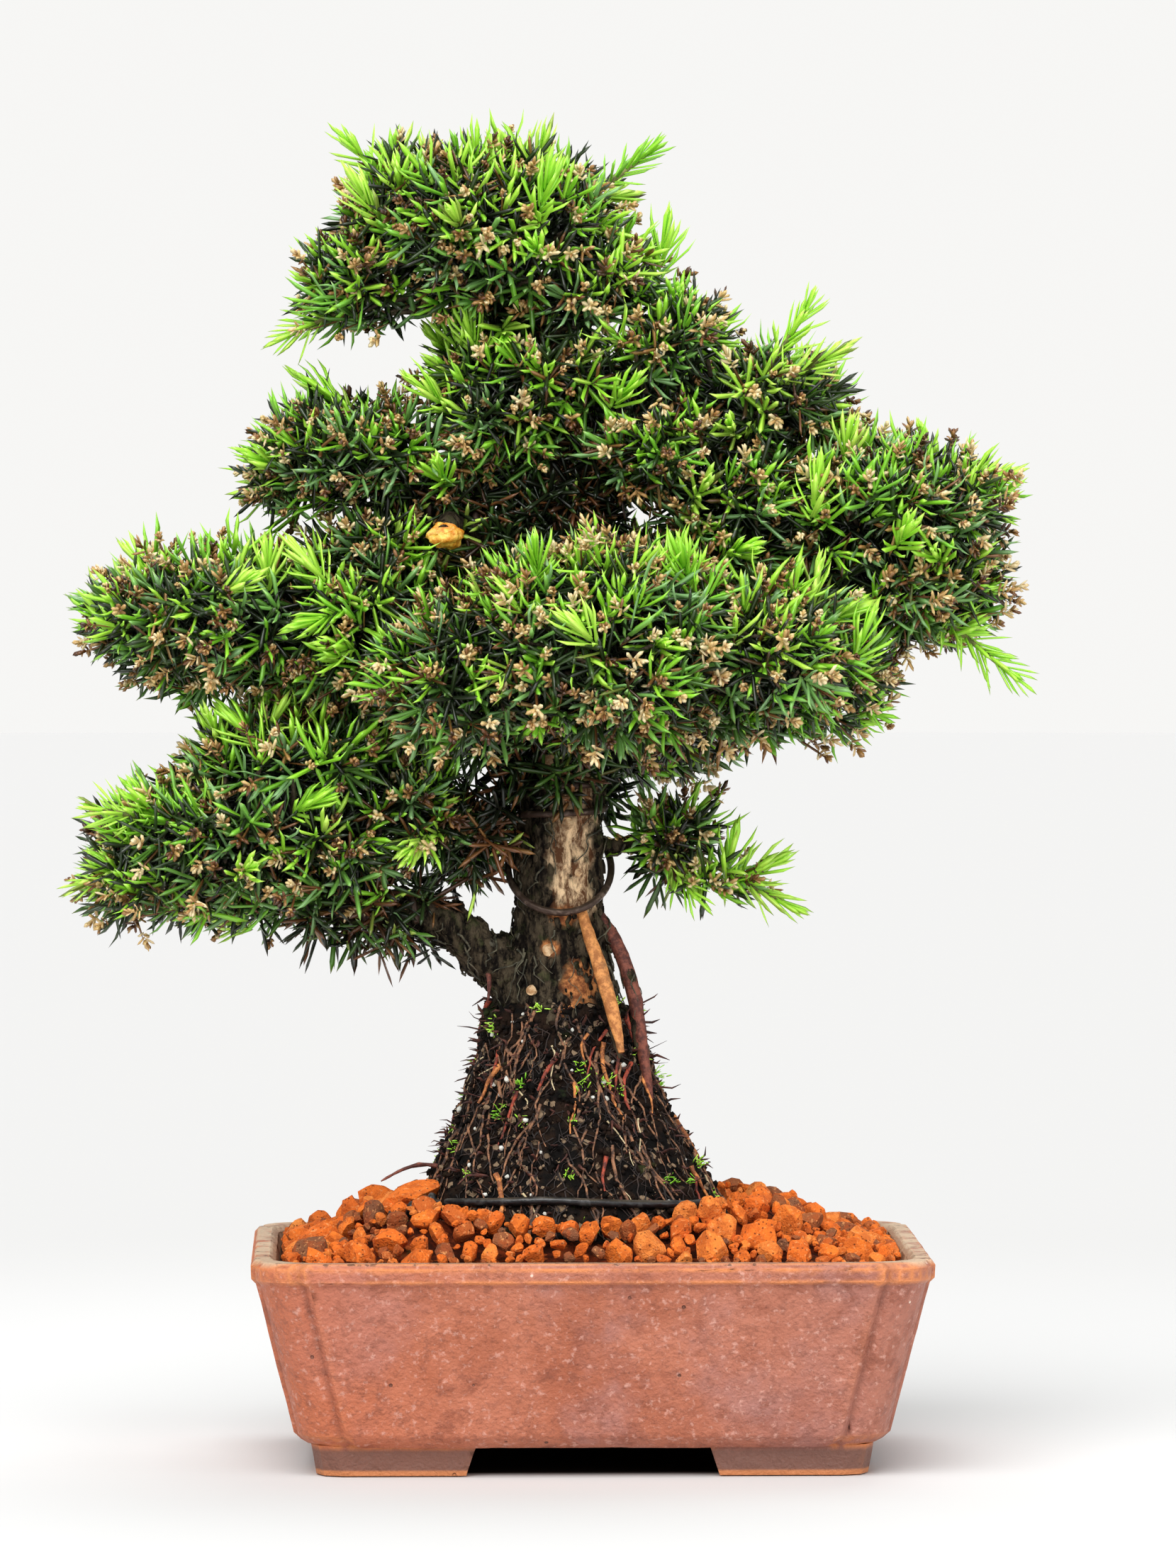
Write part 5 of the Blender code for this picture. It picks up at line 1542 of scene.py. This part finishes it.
def tint_prop(name, description, default):
    return FloatVectorProperty(
        name=name, description=description, default=default, subtype="COLOR", min=0, max=1
    )


def length_prop(name, description, default):
    return FloatProperty(name=name, description=description, default=default, unit="LENGTH")


def share_prop(name, description, default):
    return FloatProperty(name=name, description=description, default=default, min=0, max=1)


class BonsaiPotLook(bpy.types.PropertyGroup):
    """Sizes and colours of the pot and the gravel."""

    edge_radius: length_prop("Edge radius", "Rounding of the pot's edges", 0.4 * MM)
    clay_colour: tint_prop("Clay", "Fired clay", (0.50, 0.165, 0.090))
    flame_colour: tint_prop("Flame patches", "Clay dulled by the flame", (0.40, 0.190, 0.165))
    # The edge colour is partly rubbed wear and partly a painted highlight.
    rubbed_and_lit_edge_colour: tint_prop("Rubbed edges", "Clay where the edges are rubbed", (0.74, 0.25, 0.08))
    crust_colour: tint_prop("Rim crust", "Mineral crust on the rim", (0.66, 0.50, 0.34))
    stone_colour: tint_prop("Stones", "The commonest lava stone", (0.82, 0.165, 0.020))
    stone_count: IntProperty(name="Stones", description="Lava stones aimed at in the top layer", default=430)
    stone_size: length_prop("Stone size", "Middle size of a stone", 5.3 * MM)


class BonsaiTreeLook(bpy.types.PropertyGroup):
    """Sizes and colours of the wood and the needles."""

    bark_colour: tint_prop("Bark", "Lit part of the dark bark", (0.095, 0.072, 0.045))
    bare_colour: tint_prop("Bare strip", "Bark rubbed bare on the trunk", (0.98, 0.70, 0.42))
    leaf_colour: tint_prop("Needles", "Needle of the season before", (0.36, 0.82, 0.045))
    new_leaf_colour: tint_prop("New needles", "Needle of a new shoot", (0.66, 1.0, 0.14))
    needle_length: length_prop("Needle length", "Length of an older needle", 7.1 * MM)
    needle_width: length_prop("Needle width", "Width of an older needle", 1.10 * MM)
    tuft_spacing: length_prop("Tuft spacing", "Least gap between shoots", 4.2 * MM)
    new_share: share_prop("New shoots", "Share of the shoots that are new", 0.085)
    bud_share: share_prop("Buds", "Share of the tufts with dry bud scales", 0.80)


class BonsaiStageLook(bpy.types.PropertyGroup):
    """Lights and lens."""

    ambient: FloatProperty(name="Ambient", description="Strength of the light from all round", default=0.34)
    key_power: FloatProperty(name="Key light", description="Strength of the main light", default=3.1)
    lens: FloatProperty(name="Lens", description="Focal length in millimetres", default=209.5)


class BONSAI_OT_stage(bpy.types.Operator):
    """Adds the floor, the lights and the camera"""

    bl_idname = "bonsai.stage"
    bl_label = "Stage"

    def execute(self, context):
        make_stage(context.scene.bonsai_stage)
        return {"FINISHED"}


class BONSAI_OT_groups(bpy.types.Operator):
    """Makes the shader groups that the finishes share"""

    bl_idname = "bonsai.groups"
    bl_label = "Shared finishes"

    def execute(self, context):
        make_patches_group()
        make_grain_group()
        make_dust_group()
        return {"FINISHED"}


class BONSAI_OT_pot(bpy.types.Operator):
    """Makes the clay pot"""

    bl_idname = "bonsai.pot"
    bl_label = "Pot"

    def execute(self, context):
        make_pot(context.scene.bonsai_pot)
        return {"FINISHED"}


class BONSAI_OT_under(bpy.types.Operator):
    """Finishes the screens, their clips and the soil, which keep the model's shapes"""

    bl_idname = "bonsai.under"
    bl_label = "Screens and soil"

    def execute(self, context):
        plastic = wire_material("screen_finish", (0.012, 0.012, 0.012), (0.05, 0.045, 0.04), 0.0, 0.45)
        bright = wire_material("clip_finish", (0.52, 0.52, 0.50), (0.70, 0.70, 0.68), 1.0, 0.30)
        earths = (0.022, 0.013, 0.008), (0.11, 0.055, 0.025), (0.34, 0.22, 0.12)
        soil = soil_material("soil_finish", *earths, 0.95)
        finishes = {"drain_screen": plastic, "screen_clip": bright, "soil_bed": soil}
        for name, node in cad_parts.items():
            for start, material in finishes.items():
                if name.startswith(start):
                    node.material_slots[0].material = material
        return {"FINISHED"}


class BONSAI_OT_gravel(bpy.types.Operator):
    """Makes the grit bed and the lava stones"""

    bl_idname = "bonsai.gravel"
    bl_label = "Gravel"

    def execute(self, context):
        make_gravel(context.scene.bonsai_pot)
        return {"FINISHED"}


class BONSAI_OT_mound(bpy.types.Operator):
    """Makes the cone of soil with its roots, crumbs and moss"""

    bl_idname = "bonsai.mound"
    bl_label = "Soil cone"

    def execute(self, context):
        make_mound(context.scene.bonsai_tree)
        return {"FINISHED"}


class BONSAI_OT_wood(bpy.types.Operator):
    """Makes the roots, trunk and boughs"""

    bl_idname = "bonsai.wood"
    bl_label = "Wood"

    def execute(self, context):
        make_wood(context.scene.bonsai_tree)
        return {"FINISHED"}


class BONSAI_OT_wires(bpy.types.Operator):
    """Makes the training wires and the anchoring wire"""

    bl_idname = "bonsai.wires"
    bl_label = "Wires"

    def execute(self, context):
        make_wires()
        return {"FINISHED"}


class BONSAI_OT_foliage(bpy.types.Operator):
    """Makes the needles, twigs and stray shoots"""

    bl_idname = "bonsai.foliage"
    bl_label = "Foliage"

    def execute(self, context):
        make_foliage(context.scene.bonsai_tree)
        return {"FINISHED"}


OPERATORS = (
    BONSAI_OT_stage,
    BONSAI_OT_groups,
    BONSAI_OT_pot,
    BONSAI_OT_under,
    BONSAI_OT_gravel,
    BONSAI_OT_mound,
    BONSAI_OT_wood,
    BONSAI_OT_wires,
    BONSAI_OT_foliage,
)
LOOKS = {"bonsai_pot": BonsaiPotLook, "bonsai_tree": BonsaiTreeLook, "bonsai_stage": BonsaiStageLook}


class BONSAI_PT_panel(bpy.types.Panel):
    """Lists the pieces and their settings"""

    bl_label = "Bonsai"
    bl_space_type = "VIEW_3D"
    bl_region_type = "UI"
    bl_category = "Bonsai"

    def draw(self, context):
        for operator in OPERATORS:
            self.layout.operator(operator.bl_idname)
        for name in LOOKS:
            box = self.layout.box()
            look = getattr(context.scene, name)
            for prop in look.bl_rna.properties:
                if not prop.is_readonly and prop.identifier != "name":
                    box.prop(look, prop.identifier)


def register():
    for look in LOOKS.values():
        bpy.utils.register_class(look)
    for name, look in LOOKS.items():
        setattr(bpy.types.Scene, name, PointerProperty(type=look))
    for operator in OPERATORS:
        bpy.utils.register_class(operator)
    bpy.utils.register_class(BONSAI_PT_panel)


def unregister():
    bpy.utils.unregister_class(BONSAI_PT_panel)
    for operator in reversed(OPERATORS):
        bpy.utils.unregister_class(operator)
    for name in LOOKS:
        delattr(bpy.types.Scene, name)
    for look in reversed(LOOKS.values()):
        bpy.utils.unregister_class(look)


def main():
    register()
    bpy.ops.bonsai.groups()
    bpy.ops.bonsai.stage()
    bpy.ops.bonsai.pot()
    bpy.ops.bonsai.under()
    bpy.ops.bonsai.gravel()
    bpy.ops.bonsai.mound()
    bpy.ops.bonsai.wood()
    bpy.ops.bonsai.wires()
    bpy.ops.bonsai.foliage()


if __name__ == "__main__":
    main()
